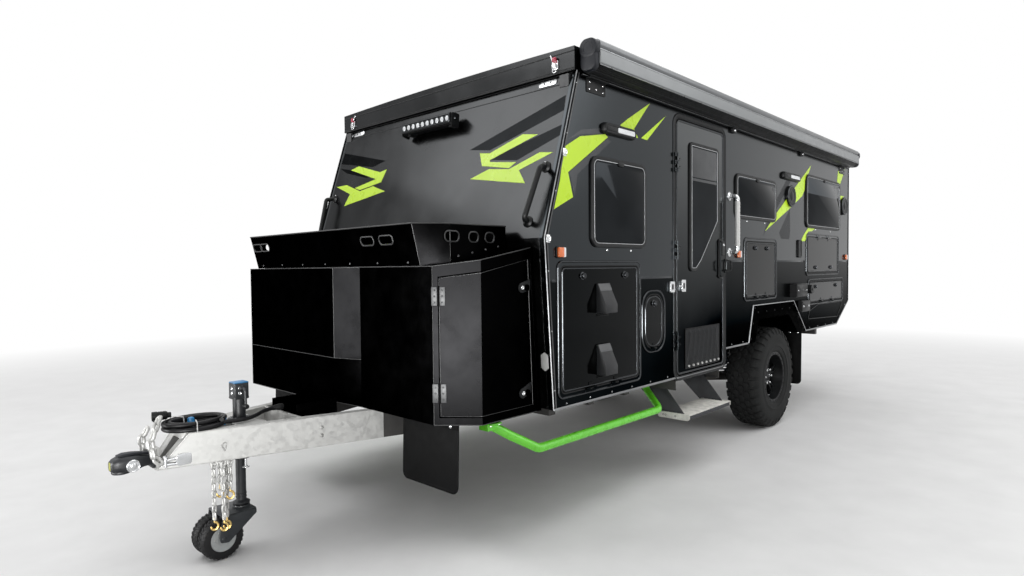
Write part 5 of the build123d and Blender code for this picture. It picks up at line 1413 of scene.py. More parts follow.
def rim(name, place, body, *nodes):
    """Deep black rim: bolted outer ring, six forked spokes, hub cap and nuts."""
    shape = Shape()
    hoop(shape, place, [(0.118, 0.2155), (0.1205, 0.210), (0.1205, 0.194), (0.117, 0.190),
         (0.100, 0.1895), (0.060, 0.186), (-0.020, 0.180), (-0.090, 0.190), (-0.112, 0.2000),
         (-0.114, 0.2150), (-0.110, 0.2150), (-0.104, 0.2050), (-0.020, 0.1860), (0.060, 0.1930),
         (0.104, 0.2060), (0.112, 0.2150)])
    hoop(shape, place, [(0.030, 0.082), (0.046, 0.086), (0.052, 0.080), (0.052, 0.036), (0.030, 0.034)],
         48)
    hoop(shape, place, [(0.050, 0.038), (0.054, 0.037), (0.058, 0.032), (0.0595, 0.014),
         (0.0595, 0.002), (0.048, 0.002), (0.040, 0.034)], 40)
    hoop(shape, place, [(-0.050, 0.150), (0.026, 0.150), (0.030, 0.144), (0.030, 0.040),
         (-0.050, 0.040)], 48)
    for middle in circle(6, 0.26):
        for fork in (-1, 1):
            rings = []
            for radius, spread, width, low, high in ((0.074, 0.10, 0.024, 0.030, 0.053),
                    (0.120, 0.125, 0.019, 0.036, 0.056), (0.165, 0.150, 0.018, 0.036, 0.056),
                    (0.192, 0.165, 0.026, 0.030, 0.052)):
                turn = middle + fork * spread
                swing = width / 2 / radius
                rings.append([place(low, radius, turn - swing),
                        place(high - 0.003, radius, turn - swing),
                        place(high, radius, turn - swing * 0.6),
                        place(high, radius, turn + swing * 0.6),
                        place(high - 0.003, radius, turn + swing), place(low, radius, turn + swing)])
            shape.skin(rings)
    axis = (place(0.1, 0, 0) - place(0, 0, 0)).normalized()
    for turn in circle(24, pi / 24):
        shape.bolt(place(0.120, 0.202, turn), axis, 0.0042)
    made = piece(name, shape, black_plastic, body, "black_coat", sharp=35)
    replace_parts(made, *nodes)
    nuts = Shape()
    for turn in circle(6):
        nuts.turned(place(0.051, 0.062, turn), axis,
                [(0, 0.0125), (0.004, 0.0125), (0.005, 0.0105), (0.020, 0.0100), (0.023, 0.0075)], 6)
    nuts.turned(place(0.102, 0.178, 4.0), axis,
            [(-0.006, 0.004), (0.012, 0.004), (0.016, 0.0034), (0.020, 0.003)], 10)
    piece(name + "_nuts", nuts, bright_metal, body)


def wheels():
    """Tyre and rim of both wheels and of the spare."""
    for side, name in ((1, "left"), (-1, "right")):
        place = side_wheel(side)
        tyre(name + "_mud_tyre", place, name + "_wheel", name + "_tyre")
        rim(name + "_spoked_rim", place, name + "_wheel", name + "_rim")
    tyre("spare_mud_tyre", spare_place, "caravan", "spare_wheel")
    rim("spare_spoked_rim", spare_place, "caravan")


# ---- roof and awning -----------------------------------------------------------------------------
roof_low, roof_high = van_box("roof")
awning_low, awning_high = van_box("awning")
roof_eave = roof_high.z - 0.012


def awning():
    """Closed awning: grey roll, pale flat band, dark ribbed underside and two end caps."""
    x0, x1 = awning_low.x + 0.0015, awning_high.x
    z0, z1 = awning_low.z, awning_high.z
    y0, y1 = awning_low.y + 0.044, awning_high.y - 0.044
    roll = [(x0, z0 + 0.100), (x0, z1 - 0.004), (x1 - 0.050, z1)]
    for k in range(10):
        t = radians(90 - 19 * k)
        roll.append((x1 - 0.030 + 0.0280 * cos(t), z1 - 0.0285 + 0.0275 * sin(t)))
    roll.append((x1 - 0.034, z0 + 0.100))
    top = Shape()
    top.slab(on_y(y0, roll), (0, y1 - y0, 0), 0.0006)
    made = piece("awning_roll", top, roll_alloy, "roof", sharp=30)
    band, line = Shape(), Shape()
    face = [(x1 - 0.016, z0 + 0.1090), (x1 - 0.0050, z0 + 0.1090), (x1 - 0.0015, z0 + 0.104),
            (x1 - 0.0015, z0 + 0.042), (x1 - 0.0055, z0 + 0.036), (x1 - 0.016, z0 + 0.038)]
    band.slab(on_y(y0, face), (0, y1 - y0, 0), 0.0005)
    piece("awning_band", band, pale_alloy, "roof")
    for low, high in ((0.1085, 0.1115), (0.0300, 0.0318)):
        line.slab(on_y(y0, [(x1 - 0.012, z0 + low), (x1 - 0.0010, z0 + low), (x1 - 0.0016, z0 + high),
                (x1 - 0.012, z0 + high)]), (0, y1 - y0, 0), 0.0004)
    piece("awning_band_lines", line, alloy, "roof")
    under = Shape()
    ribs = [(x0, z0 + 0.116), (x1 - 0.014, z0 + 0.116), (x1 - 0.014, z0 + 0.037)]
    for k in range(5):
        reach = x1 - 0.006 - 0.0085 * k
        height = z0 + 0.034 - 0.0062 * k
        ribs += [(reach - 0.003, height), (reach, height - 0.0015), (reach, height - 0.0035),
                (reach - 0.006, height - 0.005)]
    ribs += [(x1 - 0.056, z0), (x0 + 0.020, z0), (x0, z0 + 0.014)]
    under.slab(on_y(y0, ribs), (0, y1 - y0, 0))
    under.box(x0 + 0.024, x0 + 0.034, y0 + 0.02, y1 - 0.02, z0 - 0.006, z0 + 0.002, 0.001)
    piece("awning_underside", under, black_plastic, "roof", sharp=30)
    caps = Shape()
    for y, way in ((awning_low.y, 1), (awning_high.y, -1)):
        lobe = rect(x0 + 0.004, x1, z0 + 0.068, z1, 0.044, 8)
        foot = rect(x0 + 0.008, x1 - 0.009, z0 + 0.001, z0 + 0.112, 0.034, 7)
        caps.slab(on_y(y + way * 0.001, lobe), (0, way * 0.045, 0), 0.008)
        caps.slab(on_y(y + way * 0.004, foot), (0, way * 0.042, 0), 0.008)
        middle = Vector(((x0 + x1) / 2 + 0.004, y + way * 0.0005, z1 - 0.050))
        caps.turned(middle, (0, -way, 0), [(-0.004, 0.032), (0.0003, 0.032), (0.0010, 0.029),
                (0.0003, 0.027), (-0.004, 0.027)], 40, closed=True)
    piece("awning_end_caps", caps, cap_finish, "roof")
    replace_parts(made, "awning")


def roof_seams():
    """Edge strips round the roof's foot and eaves, and two seams across the top of the front wall."""
    dark = Shape()
    half = wall_x - 0.002
    front, rear, foot = roof_low.y, roof_high.y, roof_low.z
    eave_seam = (roof_eave - 0.026, roof_eave - 0.021)
    for z0, z1 in (eave_seam, (foot + 0.0005, foot + 0.0055), (foot + 0.010, foot + 0.014)):
        dark.box(-half, half, front - 0.0022, front + 0.002, z0, z1, 0.0006)
    for z0, z1 in (eave_seam, (foot + 0.001, foot + 0.014)):
        dark.box(-half, half, rear - 0.002, rear + 0.0022, z0, z1, 0.0006)
    dark.box(-wall_x - 0.0022, -wall_x + 0.002, front, rear, foot + 0.001, foot + 0.014, 0.0006)
    piece("roof_seals", dark, black_plastic, "roof", "rubber")
    line = Shape()
    reach = wall_x - 0.026
    for z0, z1, stand in ((body_top - 0.058 - 0.0022, body_top - 0.058 + 0.0022, 0.0025),
            (body_top - 0.008, body_top - 0.001, 0.0030)):
        line.slab([on_front(x, z, -0.001) for x, z in rect(-reach, reach, z0, z1)], front_out * stand,
                0.0006)
    piece("front_wall_seams", line, black_plastic, slot="rubber")


latch_x = 0.955


def roof_latches():
    """Over-centre latches at the roof's four corners, and the anchor plates under the front ones."""
    bright, levers, holes = Shape(), Shape(), Shape()
    foot = roof_low.z
    for side in (1, -1):
        for end, way in ((roof_low.y, -1), (roof_high.y, 1)):
            x = side * latch_x

            def out(by):
                return end + way * by
            bright.slab(on_y(end, rect(x - 0.021, x + 0.021, foot + 0.022, foot + 0.070, 0.006, 3)),
                    (0, way * 0.006, 0), 0.0015)
            bright.box(x - 0.014, x + 0.014, min(end, out(0.018)), max(end, out(0.018)), foot + 0.030,
                    foot + 0.052, 0.003)
            hoop_path = [(x - 0.011, out(0.015), foot + 0.040), (x - 0.011, out(0.012), foot + 0.008),
                    (x + 0.011, out(0.012), foot + 0.008), (x + 0.011, out(0.015), foot + 0.040)]
            bright.tube(bent(hoop_path, 0.008), 0.0022, 8)
            bright.tube([(x - side * 0.030, out(0.006), foot + 0.104),
                    (x - side * 0.012, out(0.012), foot + 0.070)], 0.0035, 8)
            levers.slab(on_y(out(0.006), rect(x - 0.013, x + 0.013, foot + 0.060, foot + 0.088, 0.008,
                    4)), (0, way * 0.011, 0), 0.003)
    z = body_top - 0.034
    for side in (1, -1):
        for x, half, high in ((side * 0.895, 0.062, 0.016), (side * 0.998, 0.022, 0.011)):
            bright.slab([on_front(a, b, -0.001) for a, b in rect(x - half, x + half, z - high, z + high,
                    high * 0.95, 6)], front_out * 0.006, 0.0018)
        # Black discs on the plates stand for holes: painted shade.
        for x in (side * 0.895 - 0.022, side * 0.895 + 0.022):
            holes.turned(on_front(x, z, 0.0045), front_out,
                    [(-0.001, 0.006), (0.0010, 0.006), (0.0012, 0.004)], 16)
    piece("roof_latch_bodies", bright, bright_metal, "roof")
    piece("roof_latch_levers", levers, red_lever, "roof")
    piece("anchor_plate_holes", holes, black_plastic)


def awning_brackets():
    """Wall brackets and the rail under the awning, with a painted glint along the rail."""
    brackets, bolts = Shape(), Shape()
    for y0, y1 in ((-2.698, -2.526), (1.560, 1.732)):
        brackets.slab(on_x(wall_x, rect(y0, y1, 2.292, 2.368, 0.006, 3)), (0.004, 0, 0), 0.001)
        brackets.box(wall_x, wall_x + 0.030, y0, y1, 2.360, 2.367, 0.001)
        for y, z in ((y0 + 0.025, 2.345), (y1 - 0.025, 2.345), (y0 + 0.025, 2.310), (y1 - 0.025, 2.310),
                ((y0 + y1) / 2, 2.318)):
            bolts.screw((wall_x + 0.004, y, z), X, 0.0048)
    for y in (-0.924, 0.473):
        brackets.box(wall_x, wall_x + 0.020, y - 0.035, y + 0.035, 2.335, 2.368, 0.002)
        bolts.bolt((wall_x + 0.020, y, 2.350), X, 0.006)
    rail_start, rail_end = -2.740, 1.860
    brackets.box(wall_x - 0.0005, wall_x + 0.012, rail_start, rail_end, 2.3690, 2.3740, 0.001)
    piece("awning_brackets", brackets, black_plastic, slot="black_coat")
    piece("awning_bracket_bolts", bolts, bright_metal)
    # Thin bright line along the rail: painted glint.
    glint = Shape()
    glint.box(wall_x + 0.0115, wall_x + 0.0130, rail_start, rail_end, 2.3700, 2.3730, 0.0004)
    piece("awning_rail_painted_glint", glint, alloy)


def light_bar():
    """Finned LED bar: ten lamps in a rimmed face, fins on top and behind."""
    low, high = van_box("light_bar")
    front, z0, z1 = low.y, high.z - 0.060, high.z
    fins, lamps, rims = Shape(), Shape(), Shape()
    x0, x1 = low.x + 0.004, high.x - 0.004
    rims.moulding(on_y(front, rect(x0, x1, z0 + 0.004, z1 - 0.004, 0.008, 4)), (0, -1, 0),
            [(0, -0.006), (0, 0.003), (0.002, 0.005), (0.006, 0.005), (0.008, 0.001), (0.008, -0.006)])
    z = (z0 + z1) / 2
    for k in range(10):
        x = x0 + (x1 - x0) * (k + 0.5) / 10
        rims.turned((x, front, z), (0, -1, 0), [(-0.002, 0.0205), (0.002, 0.0205), (0.0035, 0.0185),
                (0.001, 0.0150)], 24, closed=True)
        lamps.turned((x, front, z), (0, -1, 0), [(-0.001, 0.0155), (0.0012, 0.0150), (0.0030, 0.0110),
                (0.0036, 0.005)], 24)
    for k in range(24):
        x = x0 + (x1 - x0) * (k + 0.5) / 24
        for low_z in (z1 - 0.002, z0 - 0.006):
            fins.box(x - 0.0022, x + 0.0022, front + 0.012, front + 0.070, low_z, low_z + 0.008, 0.0008)
    for side in (-1, 1):
        x = side * (high.x + 0.003)
        fins.slab(on_x(x - 0.003, rounded([(front + 0.004, z0 - 0.012), (front + 0.064, z0 - 0.030),
                (front + 0.072, z1), (front + 0.010, z1 + 0.004)], 0.010, 4)), (0.006, 0, 0), 0.001)
        rims.bolt((x + side * 0.003, front + 0.036, z), (side, 0, 0), 0.006)
    piece("light_bar_fins", fins, black_plastic)
    piece("light_bar_rims", rims, dark_alloy, slot="black_plastic")
    piece("light_bar_lamps", lamps, clear_lens)


def front_handle_feet():
    """Round cups under both ends of the front grab handles, and their screws."""
    cups, bolts = Shape(), Shape()
    for x, z in ((1.000, 1.880), (0.950, 1.600)):
        cups.turned(on_front(x, z, -0.002), front_out,
                [(0, 0.030), (0.006, 0.030), (0.010, 0.026), (0.016, 0.019), (0.026, 0.0165)], 28)
        bolts.screw(on_front(x - 0.022, z - 0.006, 0.0085), front_out, 0.0045)
        bolts.screw(on_front(x - 0.004, z + 0.022, 0.0085), front_out, 0.0045)
    piece("front_handle_cups", cups.mirrored(), black_plastic)
    piece("front_handle_screws", bolts.mirrored(), bright_metal)


def roof_top():
    """Slats and seam of the air conditioner, frames of the solar panels and the roof's edge strips."""
    low, high = van_box("air_conditioner")
    slats, seams = Shape(), Shape()
    for k in range(14):
        x = -0.20 + 0.40 * k / 13
        slats.box(x - 0.008, x + 0.008, high.y - 0.010, high.y + 0.0015, low.z + 0.050, low.z + 0.135,
                0.002)
    for side in (-1, 1):
        for k in range(9):
            y = -0.30 + 0.058 * k
            slats.slab(on_x(side * (high.x - 0.003),
                    rounded([(y, low.z + 0.055), (y + 0.020, low.z + 0.055), (y + 0.050, low.z + 0.125),
                    (y + 0.030, low.z + 0.125)], 0.005, 3)), (side * 0.0045, 0, 0), 0.001)
    seams.moulding(on_z(low.z + 0.030, rect(low.x, high.x, low.y, high.y, 0.110, 8)), Z,
            [(-0.002, -0.003), (-0.002, 0.003), (0.002, 0.003), (0.002, -0.003)])
    piece("conditioner_slats", slats, black_plastic, "roof")
    piece("conditioner_seam", seams, grey_plastic, "roof", "white_plastic")
    frames = Shape()
    for low, high in solids("solar_panels"):
        frames.moulding(on_z(high.z, rect(low.x, high.x, low.y, high.y)), Z,
                [(-0.002, -0.036), (-0.002, 0.001), (0.0, 0.0025), (0.014, 0.0025), (0.015, 0.0),
                (0.0, -0.036)])
        for x in (low.x + 0.05, high.x - 0.05):
            for y in (low.y + 0.05, high.y - 0.05):
                frames.bolt((x, y, high.z + 0.0015), Z, 0.006)
    piece("solar_frames", frames, alloy, "roof")
    edge = Shape()
    edge.box(-wall_x - 0.002, -wall_x + 0.010, roof_low.y + 0.01, roof_high.y - 0.01, roof_eave - 0.008,
            roof_eave + 0.002, 0.002)
    edge.box(-0.95, 0.95, roof_low.y + 0.004, roof_low.y + 0.020, roof_eave - 0.001, roof_eave + 0.003,
            0.001)
    piece("roof_edge_trim", edge, dark_alloy, "roof")


# ---- front box and tray --------------------------------------------------------------------------
box_front_y, box_side_x = -3.550, 1.000
box_corner = (0.830, -3.403)


def lid_z(y):
    """Top of the front box."""
    return 1.380 + 0.18 * (y - box_front_y)


chamfer_run = Vector((0.148, 0.127, 0)).normalized()
chamfer_out = Vector((chamfer_run.y, -chamfer_run.x, 0))


def box_edges():
    """Lighter lines on the edges of the box and of the raised cover on its front: painted highlights.
    """
    edges = Shape()
    foot_z, cover_top, cover_seam = 0.642, 1.377, 0.893
    cover_x, cover_y = -0.915, -3.607
    end, corner, front = (box_side_x, -3.06), (box_side_x, box_corner[1]), (box_corner[0], box_front_y)
    half_rim = [front, corner, end]
    rim_line = [(-x, y) for x, y in half_rim[::-1]] + half_rim
    edges.tube([(x, y, lid_z(y) - 0.001) for x, y in rim_line], 0.0028, 8)
    foot = [(-box_side_x, -3.02), (-box_side_x, box_corner[1]), (-box_corner[0], box_front_y)]
    for side in (1, -1):
        edges.tube([(side * x, y, foot_z - 0.0005) for x, y in foot], 0.0025, 8)
    edges.tube([(*front, foot_z), (*front, lid_z(box_front_y))], 0.0020, 8)
    edges.tube([(0.245, -3.549, foot_z), (-0.300, cover_y, foot_z), (cover_x, cover_y, foot_z)], 0.0022,
            8)
    edges.tube([(cover_x, -3.6073, cover_seam), (0.068, -3.6073, cover_seam),
            (0.238, -3.5503, cover_seam)], 0.0018, 8)
    edges.tube([(0.070, cover_y, cover_seam), (0.070, cover_y, cover_top)], 0.0018, 8)
    edges.tube([(cover_x, cover_y, foot_z), (cover_x, cover_y, cover_top), (0.070, cover_y, cover_top),
            (0.239, -3.5505, cover_top)], 0.0020, 8)
    piece("box_edge_painted_highlights", edges, edge_highlight_coat)


def box_doors():
    """Seam round each side door of the box, lighter as a painted highlight, with two latch plates and
    their key barrels.
    """
    latch_y, latch_radius = -3.130, 0.026
    for side, name, front in ((1, "left", [(0.8535, -3.5287), (box_side_x, box_corner[1])]),
            (-1, "right", [(box_side_x, -3.374)])):
        seam, plates, keys = Shape(), Shape(), Shape()
        lower = front + [(box_side_x, -3.052)]
        low = [Vector((side * x, y, 0.6825)) for x, y in lower]
        high = [Vector((side * x, y, lid_z(y) - 0.061)) for x, y in reversed(lower)]
        high[0].y = low[-1].y - 0.030
        # The lighter seam line is a painted highlight.
        seam.tube(low + high, 0.0020, 8, closed=True)
        door = name + "_box_door"
        piece(door + "_edge", seam, edge_highlight_coat, door)
        for z, tilt in ((1.270, 0.012), (0.750, 0.020)):
            turns = [radians(90 + 22.5 * k) for k in range(9)]
            outline = [(latch_y + latch_radius * cos(t), z + latch_radius * sin(t)) for t in turns]
            outline += [(-3.072, z - latch_radius + tilt), (-3.072, z + 0.030 + tilt)]
            plates.slab(on_x(side * box_side_x, outline), (side * 0.009, 0, 0), 0.003)
            keys.turned((side * (box_side_x + 0.009), latch_y, z), (side, 0, 0),
                    [(-0.001, 0.0105), (0.003, 0.0105), (0.0050, 0.0080), (0.0050, 0.0040),
                    (0.003, 0.003)], 20)
        piece(name + "_box_latch_plates", plates, black_plastic, door, "black_coat")
        piece(name + "_box_latch_keys", keys, bright_metal, door)


def box_hinges():
    """Two leaf hinges on the left chamfer, one leaf on the box and one on its door."""
    fixed, moving = Shape(), Shape()
    pin = Vector((0.8553, -3.5377, 0))
    across, up = chamfer_run * 0.0140, Vector((0, 0, 0.043))
    thick = chamfer_out * 0.0012
    for z in (0.790, 1.240):
        for target, way in ((fixed, -1), (moving, 1)):
            middle = pin + chamfer_run * (way * 0.018) - chamfer_out * 0.0030 + Vector((0, 0, z))
            leaf = [middle - across - up, middle + across - up, middle + across + up,
                    middle - across + up]
            target.slab(leaf, thick, 0.0004)
            for dz in (-0.028, 0, 0.028):
                target.screw(middle + thick + Vector((0, 0, dz)), chamfer_out, 0.0042)
    piece("box_hinge_leaves_fixed", fixed, grey_plastic)
    piece("box_hinge_leaves_moving", moving, grey_plastic, "left_box_door")


slot_lip = [(-0.005, -0.001), (-0.005, 0.0015), (0.001, 0.0025), (0.001, -0.003)]


def tray_details():
    """Rolled top edge of the tray, lips round its slots and the rivets along its foot; edge and lips
    are lighter as painted highlights.
    """
    lip, rivets = Shape(), Shape()
    near, far, front, back, lean, top = 0.845, -0.960, -3.550, -3.075, 0.050, 1.580
    path = [(near, back, top), (near, front + 0.100, top), (near - 0.100, front - lean, top),
            (far + 0.035, front - lean, top), (far, front + 0.035, top), (far, back, top),
            (near, back, top)]
    lip.tube(path, 0.0035, 8)
    lip.tube([(near - 0.002, front + 0.100, 1.402), (near - 0.002, front + 0.100, top)], 0.0018, 6)
    lip.tube([(near - 0.100, front - 0.001, 1.384), (near - 0.100, front - lean, top)], 0.0018, 6)
    for y, length in ((-3.440, 0.085), (-3.300, 0.060), (-3.190, 0.060)):
        for x, side in ((near, 1), (far, -1)):
            outline = on_x(x, rect(y - length / 2, y + length / 2, 1.497, 1.543, 0.020, 5))
            lip.moulding(outline, (side, 0, 0), slot_lip)
    foot, slot_z = 1.379, 1.510
    y = front - lean * (slot_z - foot) / (top - foot)
    tilt = Vector((0, -lean, top - foot)).normalized()
    out = Vector((0, -tilt.z, tilt.y))
    for x in (0.360, 0.520, -0.860, -0.760):
        outline = [Vector((x + a, y, slot_z)) + tilt * b
                for a, b in rect(-0.055, 0.055, -0.021, 0.021, 0.018, 5)]
        lip.moulding(outline, out, slot_lip)
    for k in range(7):
        rivets.screw((-0.84 + 0.25 * k, front - 0.006, 1.398), (0, -1, 0.25), 0.006)
    for k in range(4):
        y = -3.40 + 0.09 * k
        rivets.screw((near, y, lid_z(y) + 0.020), X, 0.006)
    # The lighter edge and lips are painted highlights.
    piece("tray_lips", lip, edge_highlight_coat)
    piece("tray_rivets", rivets, satin_edge, slot="alloy")


# ---- drawbar, coupling and jockey wheel ----------------------------------------------------------
def beam_x(y):
    """Middle line of the left drawbar beam."""
    return 0.035 + 0.2943 * (y + 4.478)


def coupling_details():
    """Cast coupling head: swelling body, nose, hand lever, side boss and a yellow tell-tale."""
    body = Shape()
    rings = []
    for y, half, z0, z1, corner in ((-4.489, 0.050, 0.500, 0.570, 0.008),
            (-4.500, 0.050, 0.500, 0.570, 0.010), (-4.505, 0.030, 0.512, 0.552, 0.012),
            (-4.530, 0.032, 0.510, 0.558, 0.014), (-4.560, 0.042, 0.504, 0.566, 0.018),
            (-4.595, 0.045, 0.502, 0.570, 0.022), (-4.628, 0.041, 0.504, 0.569, 0.026),
            (-4.646, 0.032, 0.508, 0.562, 0.022), (-4.655, 0.022, 0.514, 0.554, 0.014)):
        rings.append(on_y(y, rect(-half, half, z0, z1, corner, 5)))
    body.skin(rings)
    body.turned((0, -4.612, 0.499), Z, [(-0.003, 0.030), (-0.001, 0.036), (0.004, 0.038),
            (0.010, 0.036)], 36)
    for x in (-0.030, 0.030):
        for z in (0.512, 0.558):
            body.bolt((x, -4.4985, z), (0, -1, 0), 0.006)
    made = piece("coupling_casting", body, cast_black, slot="black_coat", sharp=45)
    lever = Shape()
    rings = []
    for y, half, z, deep in ((-4.500, 0.013, 0.5680, 0.010), (-4.530, 0.017, 0.5740, 0.012),
            (-4.570, 0.021, 0.5800, 0.014), (-4.605, 0.023, 0.5810, 0.014),
            (-4.628, 0.018, 0.5760, 0.010)):
        rings.append(on_y(y, rect(-half, half, z - deep, z, 0.005, 4)))
    lever.skin(rings)
    piece("coupling_lever", lever, cap_finish, slot="black_coat")
    boss = Shape()
    boss.turned((0.040, -4.578, 0.530), X, [(-0.004, 0.027), (0.012, 0.027), (0.015, 0.024),
            (0.0125, 0.021), (0.0125, 0.013), (0.016, 0.012), (0.018, 0.009), (0.018, 0.003)], 36)
    boss.turned((-0.040, -4.578, 0.530), (-1, 0, 0),
            [(-0.004, 0.022), (0.006, 0.022), (0.008, 0.018), (0.008, 0.004)], 30)
    piece("coupling_boss", boss, bright_metal)
    tag = Shape()
    tag.slab(on_y(-4.6555, rect(-0.012, 0.012, 0.516, 0.552, 0.004, 3)), (0, 0.006, 0), 0.0015)
    piece("coupling_tell_tale", tag, yellow_plastic)
    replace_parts(made, "coupling")


beam_half = 0.0255
beam_foot, beam_top = 0.4915, 0.6385


def drawbar_welds():
    """Weld beads along the beams and cross plates, a slot's lip and the bolts of the side plate."""
    welds = Shape()
    for side in (1, -1):
        for z, ys in ((beam_top, (-4.362, -4.20, -4.05, -3.90)),
                (beam_foot, (-4.478, -4.30, -4.10, -3.90))):
            welds.tube([(side * (beam_x(y) + beam_half), y, z) for y in ys], 0.0022, 6)
        nose_weld = ((-4.482, 0.492), (-4.362, beam_top))
        welds.tube([(side * (beam_x(y) + beam_half), y, z) for y, z in nose_weld], 0.0028, 6)
    for y in (-4.385, -4.240, -4.160, -4.030):
        welds.tube([(-beam_x(y) + 0.02, y, 0.6405), (beam_x(y) - 0.02, y, 0.6405)], 0.0030, 6)
    y = -4.225
    outline = [(y + 0.010 * cos(t) * (1.25 if sin(t) > 0 else 0.55), 0.556 + 0.019 * sin(t))
            for t in circle(14)]
    welds.moulding(on_x(beam_x(y) + 0.025, outline), X,
            [(-0.002, -0.001), (-0.002, 0.003), (0.002, 0.003), (0.002, -0.001)])
    plate_y = -3.80
    for k in range(4):
        welds.bolt((beam_x(plate_y) + 0.026, plate_y + 0.045 * (k % 2), 0.545 + 0.04 * (k // 2)), X,
                0.006)
    piece("drawbar_welds", welds, zinc)


def chain_shackles():
    """Bow, pin and welded lug on the nose of both beams."""
    shackles = Shape()
    for side in (1, -1):
        x = side * (beam_x(-4.425) + 0.034)
        bow = [(-4.465, 0.514), (-4.400, 0.508), (-4.360, 0.522), (-4.400, 0.538), (-4.465, 0.530)]
        shackles.tube(bent(on_x(x, bow), 0.022), 0.0062, 10)
        shackles.tube([(x, -4.462, 0.502), (x, -4.462, 0.548)], 0.0070, 12)
        shackles.turned((x, -4.462, 0.546), Z, [(0, 0.011), (0.006, 0.011), (0.008, 0.008)], 6)
        lug = rounded([(-4.420, 0.500), (-4.352, 0.500), (-4.352, 0.552), (-4.420, 0.552)], 0.016, 5)
        shackles.slab(on_x(side * (beam_x(-4.392) + 0.026), lug), (side * 0.010, 0, 0), 0.002)
    piece("chain_shackles", shackles, bright_metal, slot="galvanised_steel")


def safety_chains():
    """Two chains from the shackles up to the coupling, and five with hooks that hang below the beam."""
    chains = Shape()
    near = beam_x(-4.465) + 0.034
    chains.chain([(near, -4.474, 0.520), (near - 0.004, -4.506, 0.556), (near - 0.012, -4.512, 0.612),
            (0.052, -4.492, 0.668), (0.010, -4.462, 0.702)], 0.056, 0.037, 0.0075)
    chains.chain([(-near, -4.474, 0.520), (-near + 0.004, -4.506, 0.556),
            (-near + 0.012, -4.512, 0.612), (-0.050, -4.490, 0.660)], 0.056, 0.037, 0.0075)
    piece("safety_chains", chains, zinc)
    hanging, hooks = Shape(), Shape()
    for x, y, low in ((0.110, -4.268, 0.170), (0.112, -4.240, 0.318), (0.112, -4.212, 0.160),
            (0.136, -4.204, 0.305), (0.140, -4.236, 0.166)):
        hanging.chain([(x, y, 0.488), (x, y, low + 0.052)], 0.044, 0.026, 0.0052)
        staple = [(y - 0.012, 0.492), (y - 0.012, 0.470), (y + 0.012, 0.470), (y + 0.012, 0.492)]
        hanging.tube(bent(on_x(x, staple), 0.010), 0.0045, 8)
        hook = [(x, y, low + 0.058)]
        for k in range(9):
            t = radians(90 - 34 * k)
            hook.append((x + 0.004 * cos(t), y + 0.015 * cos(t), low + 0.020 + 0.018 * sin(t)))
        hook = bent(hook, 0.004)
        hooks.tube(hook, [0.0036] + [0.0052] * (len(hook) - 2) + [0.0025], 8)
    piece("hanging_chains", hanging, zinc)
    piece("chain_hooks", hooks, brass)


def drawbar_caps():
    """Blue caps on the drawbar's top plate."""
    cap = Shape()
    cap.turned((-0.030, -4.310, 0.640), Z, [(-0.002, 0.012), (0.016, 0.012), (0.017, 0.015),
            (0.036, 0.015), (0.041, 0.012), (0.043, 0.006)], 18)
    cap.turned((0.055, -4.195, 0.640), Z, [(-0.002, 0.010), (0.012, 0.010), (0.013, 0.014),
            (0.032, 0.0135), (0.038, 0.010)], 18)
    piece("drawbar_blue_caps", cap, blue_plastic)


jockey_y = -4.095
jockey_wheel_y = jockey_y - 0.118
jockey_wheel_z = 0.100
crank_z = 0.796


def jockey_post():
    """Fixed tube with its flange, and the gear head with a blue lid."""
    y = jockey_y
    post, head, lid, bolts = Shape(), Shape(), Shape(), Shape()
    post.turned((0, y, 0.450), Z, [(0, 0.0265), (0, 0.030), (0.320, 0.030), (0.320, 0.0265)], 40,
            closed=True)
    post.turned((0, y, 0.6402), Z, [(0, 0.031), (0, 0.052), (0.002, 0.054), (0.008, 0.054),
            (0.010, 0.051), (0.010, 0.031)], 40, closed=True)
    for t in circle(4, pi / 4):
        bolts.bolt((0.043 * cos(t), y + 0.043 * sin(t), 0.650), Z, 0.0045)
    made = piece("jockey_post_tube", post, cast_black)
    block = rect(-0.034, 0.034, y - 0.036, y + 0.036, 0.007, 4)
    head.slab(on_z(0.742, block), (0, 0, 0.078), 0.002)
    head.moulding(on_z(0.748, block), Z, [(-0.0015, -0.003), (-0.0015, 0.003), (0.002, 0.003),
            (0.002, -0.003)])
    for z in (0.772, crank_z):
        for axis, at in (((0, -1, 0), (0.006, y - 0.0365, z)), (X, (0.0345, y - 0.010, z))):
            bolts.turned(at, axis, [(-0.001, 0.0085), (0.0015, 0.0085), (0.0020, 0.0070),
                    (0.0005, 0.0055)], 18)
    lid.slab(on_z(0.8195, rect(-0.0345, 0.0345, y - 0.0365, y + 0.0365, 0.008, 4)), (0, 0, 0.0050),
            0.0018)
    piece("jockey_gear_head", head, head_grey)
    piece("jockey_head_lid", lid, blue_plastic)
    piece("jockey_head_bolts", bolts, bright_metal, slot="galvanised_steel")
    return made


def jockey_crank():
    """Folded crank and its grip."""
    y = jockey_y
    crank, grip = Shape(), Shape()
    crank.tube(bent([(0.028, y, crank_z), (0.074, y, crank_z), (0.074, y, 0.712)], 0.014), 0.0065, 12)
    grip.turned((0.060, y, 0.712), X, [(0, 0.006), (0.001, 0.011), (0.010, 0.0125), (0.026, 0.012),
            (0.032, 0.009)], 20)
    crank.turned((0.033, y, crank_z), X, [(0, 0.014), (0.010, 0.014), (0.012, 0.011)], 20)
    piece("jockey_crank", crank, cast_black)
    piece("jockey_crank_grip", grip, black_plastic)


